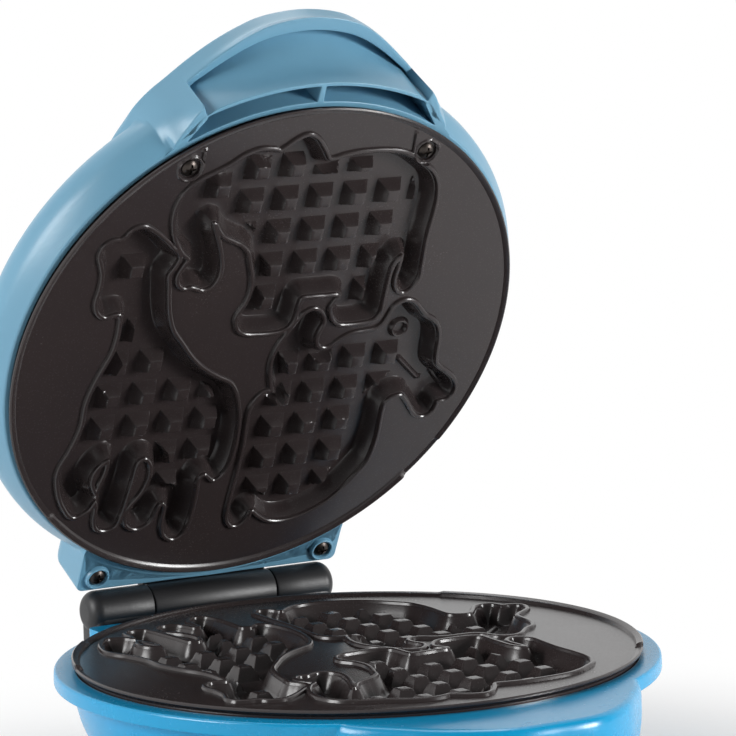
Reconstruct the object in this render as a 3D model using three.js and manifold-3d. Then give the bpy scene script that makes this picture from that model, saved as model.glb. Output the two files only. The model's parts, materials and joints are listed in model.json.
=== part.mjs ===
// Animal waffle maker: two hinged halves, each with a cast plate that has a giraffe, an elephant and a hippo
// sunk into it. Millimetres, +Z up, +X to the right and the hinge at the rear (+Y). The origin is on the table,
// under the middle of the open waffle maker. The lid is drawn closed and then turned open about the hinge pin.
import * as THREE from 'three';
import { mergeVertices } from 'three/addons/utils/BufferGeometryUtils.js';
import Module from 'manifold-3d';

const wasm = await Module();
wasm.setup();

// Fits and facets
const clearance = 0.3;
const overrun = 3;
const outlineTolerance = 0.5;
const podTolerance = 1.4;
const turnSegments = 48;
const smallSegments = 8;
const fineCount = 360;
const noseCount = 30;

// Pose and hinge
const openAngle = 62;
const partingHeight = 50;
const hingeGap = 11.4;
const knuckleRadius = 7.5;
const knuckleInner = 24.7;
const knuckleOuter = 50;
const knuckleRounding = 1.2;
const pinRadius = 2.5;

// Plates: depths are measured from the parting plane, into either half
const lipRadius = 95.4;
const lipThickness = 2.1;
const lipSlope = 0.9;
const tallLipDepth = 0.15;
const lowLipDepth = 0.7;
const lipFlare = 1.6;
const lipUnderside = 3;
const lipOverhang = 1.6;
const skirtDepth = 6.2;
const faceDepth = 1.4;
const plateThickness = 2.4;
const cavityDepth = 5.6;
const wallDraft = 3.2;
const beadWidth = 2.6;
const beadHeight = 1.2;
const podWall = 2.2;
const studPitch = 13.3;
const studBase = 9.4;
const studTop = 4.5;
const studDrop = 0.8;
const studMargin = 5;
const drawingMargin = 4.6;
const drawingShift = 0.5;

// Plate fastening
const screwRadius = 1.5;
const screwHeadRadius = 3;
const screwHeadHeight = 1.8;
const plateScrewLength = 13;
const plateScrewShares = [0.474, -0.788];
const bossRadius = 3;
const lugDepth = 13.7;
const lugThickness = 3;
const lugWidth = 9;
const lugTail = 16;

// Heaters and what hangs behind each plate
const heaterInset = 33.4;
const heaterTube = 3.3;
const heaterPin = 1.2;
const heaterSweep = 318;
const heaterPinSweep = 332;
const panThickness = 0.8;
const panFloorMargin = 4;
const panRimWidth = 14;
const panRimRise = 4.4;
const panScrewX = -10;
const panScrewY = 0.5;
const panBossRadius = 4.5;
const panScrewLength = 8;

// Lid shell
const shellWall = 2.4;
const rimDepth = 3.6;
const rimGap = 0.5;
const rimWidth = 2.1;
const ledgeWidth = 2.9;
const ledgeThickness = 2.4;
const lidFlare = 4.3;
const lidFlareDepth = 12;
const lidWaistDepth = 17;
const lidShoulderInset = 2.7;
const lidShoulderDepth = 23.6;
const lidCrownInset = 6;
const lidCrownDepth = 26.2;
const lidTopDepth = 29.6;

// Lid handle
const noseTopDepth = 25.4;
const noseRounding = 3.2;
const noseLipDepth = 17;
const fenceGap = 6.6;
const fenceThickness = 1.4;
const recessCeiling = 21;
const recessHalfWidth = 44;
const pocketDepth = 18;
const pocketRib = 1.4;
const pocketEndInner = 46.4;
const pocketEndOuter = 41.4;

// Lid tail
const tailMargin = 2;
const tailTopDepth = 24;
const tailRounding = 3;
const tailFloor = 1.6;
const tailScrewInset = 6.9;
const tailScrewBack = 4.9;
const tailScrewLength = 13;
const leafThickness = 3.5;
const leafInset = 2;

// Lamps in the lid
const lampX = 9;
const lampY = -60;
const lampDrop = 0.9;
const lensRadius = 3.2;
const lensHeadRadius = 4.4;
const lensHeadHeight = 1.4;
const lensBore = 2.3;
const lensLength = 7.2;
const neonRadius = 1.8;
const holderThickness = 2.4;
const holderWall = 2.2;

// Base shell
const flangeWidth = 5.1;
const flangeRounding = 1.6;
const flangeDepth = 8.4;
const bowlTopInset = 6.5;
const bowlMidInset = 2.1;
const bowlMidDepth = 21;
const bowlLowInset = 5.3;
const bowlLowDepth = 32;
const bowlFootInset = 11.6;
const bowlFootRise = 2;
const baseNoseSwell = 2.4;
const baseNoseFlankDepth = 15;
const baseNoseLowDepth = 30;
const baseNoseTuck = 2;
const baseNoseFootTuck = 8;
const bracketDepth = 26;
const coverBossRadius = 4.2;
const coverBossInset = 5.4;
const coverBossLength = 16;
const coverBossWeb = 3;

// Bottom cover and feet
const coverRim = 2.6;
const coverThickness = 2.3;
const coverScrewLength = 10;
const ventLength = 26;
const ventWidth = 3;
const ventPitch = 8;
const ventCount = 4;
const ventSetback = 24;
const footReach = 47;
const footRadius = 8;
const footHeight = 5;
const footStemRadius = 2.6;

// Hinge posts
const postBottomDepth = 24;
const postScrewX = 37.4;
const postScrewDepth = 17;
const postScrewLength = 22;
const postBossLength = 8;

// Electrics in the base
const thermostatX = 24;
const thermostatRadius = 8;
const thermostatHeight = 7;
const strapWidth = 12;
const strapThickness = 1;
const strapLead = 6;
const fuseRadius = 2;
const fuseLength = 15;
const fuseY = 26;
const clipThickness = 0.8;
const clipWidth = 6;
const clipFoot = 4;
const blockLength = 34;
const blockWidth = 14;
const blockHeight = 11;
const blockY = 44;
const blockBore = 1.9;
const glandDrop = 9.5;
const glandRadius = 6;
const glandFlangeRadius = 8.5;
const glandFlange = 2.6;
const glandBore = 3.6;
const glandLength = 14;

// Outlines are read on a square whose half-width is drawingReach
const giraffeShares = [
  [-0.588, -0.15], [-0.593, -0.05], [-0.628, 0.05], [-0.652, 0.15], [-0.652, 0.25], [-0.675, 0.345],
  [-0.705, 0.43], [-0.695, 0.5], [-0.66, 0.58], [-0.615, 0.63], [-0.57, 0.61], [-0.545, 0.57],
  [-0.53, 0.6], [-0.525, 0.66], [-0.51, 0.695], [-0.48, 0.705], [-0.45, 0.695], [-0.438, 0.65],
  [-0.43, 0.58], [-0.423, 0.5], [-0.418, 0.435], [-0.405, 0.415], [-0.38, 0.41], [-0.355, 0.435],
  [-0.342, 0.48], [-0.35, 0.54], [-0.37, 0.585], [-0.395, 0.62], [-0.405, 0.66], [-0.395, 0.695],
  [-0.36, 0.715], [-0.33, 0.708], [-0.31, 0.685], [-0.3, 0.645], [-0.292, 0.623], [-0.275, 0.613],
  [-0.258, 0.63], [-0.253, 0.68], [-0.248, 0.73], [-0.23, 0.765], [-0.2, 0.78], [-0.175, 0.768],
  [-0.163, 0.73], [-0.158, 0.66], [-0.16, 0.58], [-0.162, 0.535], [-0.153, 0.517], [-0.13, 0.508],
  [-0.11, 0.522], [-0.09, 0.538], [-0.07, 0.525], [-0.053, 0.49], [-0.045, 0.43], [-0.046, 0.36],
  [-0.055, 0.29], [-0.075, 0.22], [-0.098, 0.168], [-0.125, 0.135], [-0.17, 0.11], [-0.22, 0.08],
  [-0.26, 0.05], [-0.305, 0.005], [-0.345, -0.045], [-0.395, -0.11], [-0.42, -0.165], [-0.438, -0.23],
  [-0.452, -0.3], [-0.46, -0.345], [-0.44, -0.385], [-0.434, -0.413], [-0.47, -0.45], [-0.505, -0.483],
  [-0.56, -0.525], [-0.59, -0.538], [-0.62, -0.53], [-0.64, -0.505], [-0.66, -0.493], [-0.69, -0.49],
  [-0.713, -0.475], [-0.72, -0.445], [-0.708, -0.41], [-0.695, -0.37], [-0.693, -0.31], [-0.698, -0.26],
  [-0.685, -0.22], [-0.66, -0.202], [-0.63, -0.208], [-0.6, -0.205],
];
const legGapShares = [
  [-0.55, 0.555], [-0.575, 0.52], [-0.585, 0.48], [-0.575, 0.44], [-0.55, 0.41], [-0.525, 0.4],
  [-0.52, 0.45], [-0.53, 0.5], [-0.54, 0.54],
];
const elephantShares = [
  [-0.383, -0.403], [-0.415, -0.435], [-0.455, -0.5], [-0.473, -0.57], [-0.472, -0.61], [-0.46, -0.65],
  [-0.435, -0.685], [-0.4, -0.71], [-0.36, -0.73], [-0.31, -0.755], [-0.26, -0.79], [-0.21, -0.807],
  [-0.16, -0.805], [-0.135, -0.798], [-0.11, -0.81], [-0.07, -0.84], [-0.035, -0.852], [-0.005, -0.838],
  [0.02, -0.81], [0.045, -0.775], [0.06, -0.753], [0.08, -0.75], [0.12, -0.76], [0.17, -0.768],
  [0.22, -0.77], [0.28, -0.768], [0.34, -0.76], [0.39, -0.74], [0.435, -0.71], [0.48, -0.675],
  [0.51, -0.63], [0.525, -0.57], [0.528, -0.5], [0.526, -0.405], [0.535, -0.29], [0.538, -0.24],
  [0.52, -0.205], [0.495, -0.19], [0.47, -0.205], [0.458, -0.24], [0.46, -0.29], [0.459, -0.34],
  [0.45, -0.348], [0.43, -0.33], [0.415, -0.29], [0.413, -0.22], [0.415, -0.15], [0.415, -0.11],
  [0.4, -0.087], [0.36, -0.078], [0.3, -0.076], [0.265, -0.082], [0.24, -0.105], [0.225, -0.135],
  [0.223, -0.15], [0.235, -0.175], [0.245, -0.195], [0.23, -0.208], [0.18, -0.209], [0.12, -0.21],
  [0.085, -0.205], [0.077, -0.18], [0.075, -0.14], [0.068, -0.1], [0.048, -0.08], [0.01, -0.072],
  [-0.05, -0.072], [-0.1, -0.078], [-0.128, -0.095], [-0.142, -0.125], [-0.145, -0.145], [-0.135, -0.17],
  [-0.12, -0.2], [-0.112, -0.25], [-0.12, -0.31], [-0.14, -0.365], [-0.16, -0.415], [-0.195, -0.448],
  [-0.23, -0.466], [-0.27, -0.488], [-0.293, -0.515], [-0.31, -0.54], [-0.33, -0.543], [-0.32, -0.505],
  [-0.3, -0.46], [-0.28, -0.41], [-0.265, -0.35], [-0.268, -0.31], [-0.285, -0.283], [-0.31, -0.277],
  [-0.33, -0.285], [-0.355, -0.293], [-0.38, -0.29], [-0.4, -0.305], [-0.408, -0.335], [-0.395, -0.37],
];
const hippoShares = [
  [0.002, 0.68], [0.008, 0.725], [0.03, 0.753], [0.055, 0.753], [0.075, 0.73], [0.088, 0.698],
  [0.1, 0.695], [0.13, 0.72], [0.17, 0.745], [0.22, 0.755], [0.28, 0.748], [0.34, 0.725],
  [0.4, 0.69], [0.45, 0.64], [0.49, 0.585], [0.52, 0.535], [0.53, 0.48], [0.533, 0.42],
  [0.527, 0.32], [0.53, 0.29], [0.55, 0.265], [0.58, 0.253], [0.605, 0.255], [0.63, 0.28],
  [0.66, 0.32], [0.685, 0.348], [0.715, 0.36], [0.74, 0.35], [0.75, 0.325], [0.755, 0.303],
  [0.77, 0.298], [0.795, 0.295], [0.81, 0.28], [0.813, 0.25], [0.795, 0.215], [0.76, 0.185],
  [0.725, 0.16], [0.703, 0.135], [0.693, 0.09], [0.688, 0.04], [0.675, -0.01], [0.65, -0.045],
  [0.61, -0.07], [0.58, -0.1], [0.55, -0.13], [0.515, -0.14], [0.485, -0.125], [0.47, -0.09],
  [0.455, -0.055], [0.425, -0.032], [0.38, -0.025], [0.33, -0.02], [0.29, 0], [0.26, 0.025],
  [0.23, 0.032], [0.198, 0.02], [0.18, -0.015], [0.182, -0.05], [0.193, -0.09], [0.18, -0.12],
  [0.15, -0.14], [0.12, -0.128], [0.095, -0.095], [0.07, -0.05], [0.05, -0.01], [0.038, 0.04],
  [0.04, 0.09], [0.053, 0.14], [0.065, 0.175], [0.076, 0.197], [0.055, 0.19], [0.03, 0.195],
  [0.01, 0.215], [-0.003, 0.25], [-0.003, 0.3], [0.005, 0.4], [0.006, 0.5], [0.003, 0.6],
];

// The first stud of each grid, as shares of drawingReach, and the cells that hold a stud: column, row
const giraffeStuds = {
  startShares: [-0.545, -0.089],
  cells: [[0, 0], [0, 1], [1, 1], [0, 2], [1, 2], [2, 2], [3, 2], [0, 3], [1, 3], [2, 3], [3, 3], [2, 4], [3, 4]],
  looseShares: [[-0.561, -0.35], [-0.24, 0.576]],
};
const elephantStuds = {
  startShares: [-0.296, -0.707],
  cells: [[1, 0], [2, 0], [3, 0], [4, 0], [1, 1], [2, 1], [3, 1], [4, 1], [5, 1], [6, 1], [1, 2], [2, 2], [3, 2],
    [4, 2], [5, 2], [2, 3], [3, 3], [4, 3], [5, 3], [2, 4], [5, 4]],
  looseShares: [[-0.3, -0.645]],
};
const hippoStuds = {
  startShares: [0.13, 0.112],
  cells: [[0, 0], [1, 0], [2, 0], [3, 0], [0, 1], [1, 1], [2, 1], [3, 1], [0, 2], [1, 2], [2, 2], [0, 3], [1, 3],
    [2, 3], [0, 4], [1, 4], [2, 4]],
  looseShares: [],
};

// The plan of each handle's nose: right half, from the tip round to the shell
const lidNoseShares = [[0, -1.21], [0.238, -1.135], [0.4, -1.023], [0.526, -0.917], [0.57, -0.84], [0.5, -0.5]];
const noseLipShares = [[0, -1.187], [0.275, -1.09], [0.375, -1], [0.426, -0.963]];
const baseNoseShares = [[0, -1.22], [0.16, -1.21], [0.3, -1.13], [0.4, -1.03], [0.545, -0.81], [0.46, -0.5]];

// Lips, as [angle in degrees from +X, depth of the crest] at the start of each stretch
const upperLip = [[-180, lowLipDepth], [31, faceDepth], [41.6, tallLipDepth], [138.4, lowLipDepth]];
const lowerLip = [[-180, lowLipDepth], [-35, tallLipDepth], [163, lowLipDepth]];

// Sizes that follow from others
const drawingReach = lipRadius + drawingMargin;
const lampSeatDepth = lidTopDepth - lampDrop;
const bowlFootDepth = partingHeight - bowlFootRise;
const glandDepth = bracketDepth + glandDrop;
const hingeSetback = lipRadius + hingeGap;
const skirtRadius = lipRadius - lipOverhang;
const [plateScrewX, plateScrewY] = plateScrewShares.map((share) => share * lipRadius);
const heaterRadius = lipRadius - heaterInset;
const panFloorRadius = heaterRadius + panFloorMargin;
const panRimRadius = panFloorRadius + panRimWidth;
const rimInner = skirtRadius + rimGap;
const rimOuter = rimInner + rimWidth;
const ledgeInner = rimInner - ledgeWidth;
const lidFlareRadius = rimOuter + lidFlare;
const lidShoulderRadius = lidFlareRadius - lidShoulderInset;
const lidCrownRadius = lidShoulderRadius - lidCrownInset;
const fenceRadius = rimOuter + fenceGap;
const flangeRadius = rimOuter + flangeWidth;
const bowlTopRadius = flangeRadius - bowlTopInset;
const bowlMidRadius = bowlTopRadius - bowlMidInset;
const bowlLowRadius = bowlMidRadius - bowlLowInset;
const bowlFootRadius = bowlLowRadius - bowlFootInset;
const coverRadius = bowlFootRadius - coverRim;
const coverBossReach = coverRadius - coverBossInset;
const tailHalfWidth = knuckleOuter + tailMargin;
const tailScrewX = tailHalfWidth - tailScrewInset;
const lugReach = flangeRadius + lugTail;
const floorDepth = faceDepth + cavityDepth;
const studTopDepth = faceDepth + studDrop;
const plateBackDepth = faceDepth + plateThickness;
const podBackDepth = floorDepth + podWall;
const ledgeDepth = skirtDepth + clearance;
const heaterDepth = podBackDepth + clearance + heaterTube;
const panDepth = heaterDepth + heaterTube + clearance;
const panBackDepth = panDepth + panThickness;
const knuckleFace = hingeSetback - knuckleRadius;
const shellBack = knuckleFace - clearance;
const tailScrewY = shellBack - tailScrewBack;
const screwHole = screwRadius + clearance;
const coverTopDepth = partingHeight - coverThickness;

/** A geometry's volume, negative where its faces point inwards. */
function signedVolume(positions, triangles) {
  const corner = (index) => new THREE.Vector3().fromArray(positions, triangles[index] * 3);
  let volume = 0;
  for (let i = 0; i < triangles.length; i += 3) {
    volume += corner(i).dot(corner(i + 1).cross(corner(i + 2))) / 6;
  }
  return volume;
}

/** Turns a closed three.js geometry into a solid that can be added, subtracted or intersected. */
function solidOf(geometry) {
  const bare = new THREE.BufferGeometry();
  bare.setAttribute('position', geometry.getAttribute('position'));
  if (geometry.index) bare.setIndex(geometry.index);
  const welded = mergeVertices(bare);
  const positions = welded.getAttribute('position').array;
  const triangles = [];
  for (let i = 0; i < welded.index.count; i += 3) {
    const [a, b, c] = [0, 1, 2].map((k) => welded.index.getX(i + k));
    if (a !== b && b !== c && c !== a) triangles.push(a, b, c);
  }
  if (signedVolume(positions, triangles) < 0) triangles.reverse();
  return new wasm.Manifold(new wasm.Mesh({
    numProp: 3,
    vertProperties: new Float32Array(positions),
    triVerts: new Uint32Array(triangles),
  }));
}

/** Turns a solid back into a geometry for a mesh. */
function geometryOf(solid) {
  const mesh = solid.getMesh();
  const geometry = new THREE.BufferGeometry();
  geometry.setAttribute('position', new THREE.BufferAttribute(mesh.vertProperties, 3));
  geometry.setIndex(new THREE.BufferAttribute(mesh.triVerts, 1));
  geometry.computeVertexNormals();
  return geometry;
}

const join = (...solids) => solids.reduce((sum, solid) => sum.add(solid));
const cut = (solid, ...tools) => tools.reduce((left, tool) => left.subtract(tool), solid);

/** A closed solid through rings that match one to one; both caps take the triangles of the given plan. */
function loft(rings, plan = rings[0]) {
  const size = rings[0].length;
  const positions = rings.flatMap((ring) => ring.flatMap((point) => point.toArray()));
  const triangles = [];
  for (let level = 0; level + 1 < rings.length; level++) {
    for (let i = 0; i < size; i++) {
      const a = level * size + i;
      const b = level * size + (i + 1) % size;
      triangles.push(a, b, b + size, a, b + size, a + size);
    }
  }
  const last = (rings.length - 1) * size;
  for (const [a, b, c] of THREE.ShapeUtils.triangulateShape(plan.map((p) => new THREE.Vector2(p.x, p.y)), [])) {
    triangles.push(c, b, a, last + a, last + b, last + c);
  }
  const geometry = new THREE.BufferGeometry();
  geometry.setAttribute('position', new THREE.Float32BufferAttribute(positions, 3));
  geometry.setIndex(triangles);
  return solidOf(geometry);
}

const ringAt = (points, depth) => points.map((point) => new THREE.Vector3(point.x, point.y, -depth));

/** A solid of revolution about Z from [radius, depth] pairs. */
function turned(profile, segments = turnSegments) {
  const points = profile.map(([radius, depth]) => new THREE.Vector2(radius, -depth));
  return solidOf(new THREE.LatheGeometry(points, segments).rotateX(Math.PI / 2));
}

/** A round bar along Z between two depths. */
function bar(x, y, radius, fromDepth, toDepth, segments = smallSegments) {
  const length = Math.abs(toDepth - fromDepth);
  const geometry = new THREE.CylinderGeometry(radius, radius, length, segments).rotateX(Math.PI / 2);
  return solidOf(geometry.translate(x, y, -(fromDepth + toDepth) / 2));
}

/** A rectangular block between two corners, the third number of each being a depth. */
function block([x0, y0, d0], [x1, y1, d1]) {
  const geometry = new THREE.BoxGeometry(Math.abs(x1 - x0), Math.abs(y1 - y0), Math.abs(d1 - d0));
  return solidOf(geometry.translate((x0 + x1) / 2, (y0 + y1) / 2, -(d0 + d1) / 2));
}

/** A flat plan of Vector2 points, raised between two depths. */
function slab(points, fromDepth, toDepth, holes = []) {
  const shape = new THREE.Shape(points);
  shape.holes = holes;
  const geometry = new THREE.ExtrudeGeometry(shape, {
    depth: Math.abs(toDepth - fromDepth),
    bevelEnabled: false,
    curveSegments: smallSegments / 2,
  });
  return solidOf(geometry.translate(0, 0, -Math.max(fromDepth, toDepth)));
}

/** A section drawn in the YZ plane, run along X between two places. */
function sectionAlongX(shape, fromX, toX, rounding = 0) {
  const geometry = new THREE.ExtrudeGeometry(shape, {
    depth: toX - fromX - 2 * rounding,
    bevelEnabled: rounding > 0,
    bevelSize: rounding,
    bevelThickness: rounding,
    bevelOffset: -rounding,
    bevelSegments: 2,
    curveSegments: smallSegments,
  });
  const axes = new THREE.Matrix4().makeBasis(
    new THREE.Vector3(0, 1, 0), new THREE.Vector3(0, 0, 1), new THREE.Vector3(1, 0, 0));
  return solidOf(geometry.applyMatrix4(axes).translate(fromX + rounding, 0, 0));
}

/** A smooth closed outline through hand-chosen shares, as many close points, counter-clockwise. */
function smoothOutline(shares) {
  const corners = shares.map(([x, y]) => new THREE.Vector3(
    x * drawingReach + drawingShift, y * drawingReach + drawingShift, 0));
  const curve = new THREE.CatmullRomCurve3(corners, true, 'centripetal');
  const points = curve.getSpacedPoints(fineCount).slice(0, -1).map((p) => new THREE.Vector2(p.x, p.y));
  return THREE.ShapeUtils.area(points) < 0 ? points.reverse() : points;
}

/** Moves an outline inwards (or outwards, if negative), less where it is too narrow to move so far. */
function inset(points, distance) {
  const count = points.length;
  const side = Math.sign(distance) || 1;
  const narrowShare = 0.72;
  const normals = points.map((_, i) => {
    const along = points[(i + 1) % count].clone().sub(points[(i + count - 1) % count]);
    return new THREE.Vector2(-along.y, along.x).normalize().multiplyScalar(side);
  });
  const moves = points.map((point, i) => {
    let room = Infinity;
    for (const other of points) {
      const chordX = other.x - point.x;
      const chordY = other.y - point.y;
      const facing = chordX * normals[i].x + chordY * normals[i].y;
      if (facing > 0) room = Math.min(room, (chordX * chordX + chordY * chordY) / (2 * facing));
    }
    return Math.min(Math.abs(distance), narrowShare * room);
  });
  const spreadCount = 4;
  return points.map((point, i) => {
    let sum = 0;
    for (let k = -spreadCount; k <= spreadCount; k++) sum += moves[(i + k + count) % count];
    return point.clone().addScaledVector(normals[i], sum / (2 * spreadCount + 1));
  });
}

/** Places along an outline that keep it within a tolerance of its true shape. */
function keyPlaces(points, tolerance) {
  const kept = [0];
  points.forEach((point, end) => {
    const start = kept.at(-1);
    const chord = point.clone().sub(points[start]);
    const allowed = tolerance * chord.length();
    const between = points.slice(start + 1, end);
    if (between.some((place) => Math.abs(chord.cross(place.clone().sub(points[start]))) > allowed)) {
      kept.push(end - 1);
    }
  });
  return kept;
}

/** Rings of one outline at chosen insets and depths: [[inset, depth], ...]. */
function outlineLoft(points, levels, tolerance = outlineTolerance) {
  const places = keyPlaces(points, tolerance);
  const rings = levels.map(([distance, depth]) => {
    const moved = distance === 0 ? points : inset(points, distance);
    return ringAt(places.map((place) => moved[place]), depth);
  });
  return loft(rings, places.map((place) => points[place]));
}

/** One waffle stud: a square, cut-off pyramid that stands on a cavity floor. */
function stud(x, y) {
  const squareAt = (width, depth) => [[-1, -1], [1, -1], [1, 1], [-1, 1]].map(
    ([i, j]) => new THREE.Vector3(x + i * width / 2, y + j * width / 2, -depth));
  return loft([squareAt(studBase, floorDepth + studDrop), squareAt(studTop, studTopDepth)]);
}

/** All studs of one animal, cut off parallel to its outline so that a channel runs round them. */
function studsOf(outline, grid) {
  const [startX, startY] = grid.startShares.map((share) => share * drawingReach);
  const centres = grid.cells.map(([column, row]) => [startX + column * studPitch, startY + row * studPitch]);
  centres.push(...grid.looseShares.map((place) => place.map((share) => share * drawingReach)));
  const margin = outlineLoft(outline, [
    [studMargin, floorDepth + studDrop],
    [studMargin + wallDraft / 2, studTopDepth - studDrop],
  ]);
  return join(...centres.map(([x, y]) => stud(x, y))).intersect(margin);
}

/** The cast disc with its skirt and a lip whose height changes round the edge. */
function plateDisc(lip) {
  const crestAt = (degrees) => lip.findLast(([start]) => degrees >= start)[1];
  const steps = [];
  for (let i = 0; i < turnSegments; i++) steps.push(-180 + i * 360 / turnSegments);
  for (const [start] of lip.slice(1)) steps.push(start - 0.4, start + 0.4);
  steps.sort((a, b) => a - b);
  const rings = steps.map((degrees) => {
    const crest = crestAt(degrees);
    const lipInner = lipRadius - lipThickness;
    const slope = lipSlope * (faceDepth - crest) / faceDepth;
    return [
      [skirtRadius - plateThickness, skirtDepth], [skirtRadius, skirtDepth], [skirtRadius, lipUnderside],
      [lipRadius, lipFlare], [lipRadius, crest], [lipInner, crest], [lipInner - slope - clearance, faceDepth],
    ].map(([radius, depth]) => {
      const angle = THREE.MathUtils.degToRad(degrees);
      return new THREE.Vector3(radius * Math.cos(angle), radius * Math.sin(angle), -depth);
    });
  });
  const size = rings[0].length;
  const count = rings.length;
  const positions = rings.flatMap((ring) => ring.flatMap((p) => p.toArray()));
  const backEdge = rings.map((ring) => ring[0].clone().setZ(-plateBackDepth));
  positions.push(...backEdge.flatMap((p) => p.toArray()));
  positions.push(0, 0, -faceDepth, 0, 0, -plateBackDepth);
  const faceCentre = count * (size + 1);
  const triangles = [];
  for (let i = 0; i < count; i++) {
    const next = (i + 1) % count;
    for (let k = 0; k + 1 < size; k++) {
      const [a, b] = [i * size + k, next * size + k];
      triangles.push(a, b, b + 1, a, b + 1, a + 1);
    }
    triangles.push(i * size + size - 1, next * size + size - 1, faceCentre);
    const [back, nextBack] = [count * size + i, count * size + next];
    triangles.push(back, nextBack, next * size, back, next * size, i * size);
    triangles.push(nextBack, back, faceCentre + 1);
  }
  const geometry = new THREE.BufferGeometry();
  geometry.setAttribute('position', new THREE.Float32BufferAttribute(positions, 3));
  geometry.setIndex(triangles);
  return solidOf(geometry);
}

/** Bead, sunk cavity and studs of one animal: what is added to the plate and what is taken away. */
function animal(shares, grid) {
  const outline = smoothOutline(shares);
  const bead = outlineLoft(outline, [
    [-beadWidth, faceDepth + beadHeight / 2],
    [-beadWidth * 0.6, faceDepth - beadHeight],
  ]);
  const pod = outlineLoft(outline, [
    [-podWall, faceDepth + plateThickness / 2],
    [wallDraft - podWall, podBackDepth],
  ], podTolerance);
  const cavity = outlineLoft(outline, [
    [-beadWidth / 4, faceDepth - beadHeight - overrun],
    [-beadWidth / 4, faceDepth - beadHeight],
    [wallDraft, floorDepth],
  ]);
  return { added: join(bead, pod), taken: cut(cavity, studsOf(outline, grid)) };
}

/** The raised ground between the giraffe's left legs, bead and all. */
function legGap() {
  return outlineLoft(smoothOutline(legGapShares), [
    [-wallDraft, floorDepth + studDrop],
    [0, faceDepth - beadHeight / 2],
    [beadWidth / 4, faceDepth - beadHeight],
  ]);
}

const animals = [
  animal(giraffeShares, giraffeStuds),
  animal(elephantShares, elephantStuds),
  animal(hippoShares, hippoStuds),
];

/** A plate as it lies in the base, face up, with its parting plane at height zero. */
function castPlate(lip, fastened) {
  const panBoss = bar(panScrewX, panScrewY, panBossRadius, plateBackDepth - clearance, panDepth - clearance);
  const panBore = bar(panScrewX, panScrewY, screwHole, podBackDepth, panDepth + overrun);
  const body = join(plateDisc(lip), ...animals.map((one) => one.added), panBoss);
  return fastened(join(cut(body, ...animals.map((one) => one.taken), panBore), legGap()));
}

/** Screw holes through the lid's plate. */
const throughHoles = (plate) => cut(plate, ...plateScrewPlaces.map(([, x]) => bar(
  x, plateScrewY, screwHole, faceDepth - overrun, plateBackDepth + overrun)));

/** Screw bosses on the back of the base's plate. */
const backBosses = (plate) => cut(
  join(plate, ...plateScrewPlaces.map(([, x]) => bar(
    x, plateScrewY, bossRadius, plateBackDepth - clearance, lugDepth))),
  ...plateScrewPlaces.map(([, x]) => bar(x, plateScrewY, screwHole, plateBackDepth + clearance, lugDepth + overrun)));

/** Turns a lower piece over to make the lid's. */
function turnedOver(solid) {
  const geometry = geometryOf(solid).scale(1, 1, -1);
  return solidOf(geometry);
}

const plateScrewPlaces = [['left', -plateScrewX], ['right', plateScrewX]];

/** A pan-head screw along Z with its head's underside at height zero and its point down. */
function panScrew(length, crossed = false) {
  const head = turned([
    [0, -screwHeadHeight], [screwHeadRadius * 0.6, -screwHeadHeight], [screwHeadRadius, -screwHeadHeight * 0.4],
    [screwHeadRadius, 0], [screwRadius, 0], [screwRadius, length - screwRadius], [0, length],
  ], smallSegments);
  if (!crossed) return head;
  const arm = screwHeadRadius * 0.6;
  const width = screwHeadRadius * 0.11;
  const floor = -screwHeadHeight * 0.45;
  return cut(head,
    block([-arm, -width, -screwHeadHeight - overrun], [arm, width, floor]),
    block([-width, -arm, -screwHeadHeight - overrun], [width, arm, floor]));
}

/** A tube along an arc about Z at the heater's depth, open at the rear right. */
function heaterArc(radius, sweep, segments) {
  class Arc extends THREE.Curve {
    getPoint(t, target = new THREE.Vector3()) {
      const angle = THREE.MathUtils.degToRad(45 - (360 - sweep) / 2 + (t - 1) * sweep);
      return target.set(heaterRadius * Math.cos(angle), heaterRadius * Math.sin(angle), -heaterDepth);
    }
  }
  const circle = new THREE.Shape().absarc(0, 0, radius, 0, Math.PI * 2);
  return solidOf(new THREE.ExtrudeGeometry(circle, {
    steps: segments, extrudePath: new Arc(), bevelEnabled: false, curveSegments: 4,
  }));
}

const heater = () => join(
  heaterArc(heaterTube, heaterSweep, turnSegments / 2), heaterArc(heaterPin, heaterPinSweep, turnSegments / 2));

/** The reflector pan under a heater, with the hole for its screw. */
function reflectorPan() {
  const rim = panDepth - panRimRise;
  const pan = turned([
    [0, panDepth], [panFloorRadius, panDepth], [panRimRadius, rim], [panRimRadius + panThickness, rim],
    [panRimRadius + panThickness, rim + panThickness], [panFloorRadius + panThickness / 2, panBackDepth],
    [0, panBackDepth],
  ], turnSegments / 2);
  return cut(pan, bar(panScrewX, panScrewY, screwHole, panDepth - overrun, panBackDepth + overrun));
}

/** A nose's plan, mirrored from the shares of its right half, as a smooth closed outline. */
function nosePlan(shares) {
  const right = shares.map(([x, y]) => [x, y]);
  const left = right.slice(1).reverse().map(([x, y]) => [-x, y]);
  const corners = [...right, ...left].map(([x, y]) => new THREE.Vector3(x * drawingReach, y * drawingReach, 0));
  const curve = new THREE.CatmullRomCurve3(corners, true, 'centripetal');
  const points = curve.getSpacedPoints(noseCount).slice(0, -1).map((p) => new THREE.Vector2(p.x, p.y));
  return THREE.ShapeUtils.area(points) < 0 ? points.reverse() : points;
}

const noseLoft = (plan, levels) => loft(levels.map(([distance, depth]) => ringAt(
  distance === 0 ? plan : inset(plan, distance), depth)));

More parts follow.
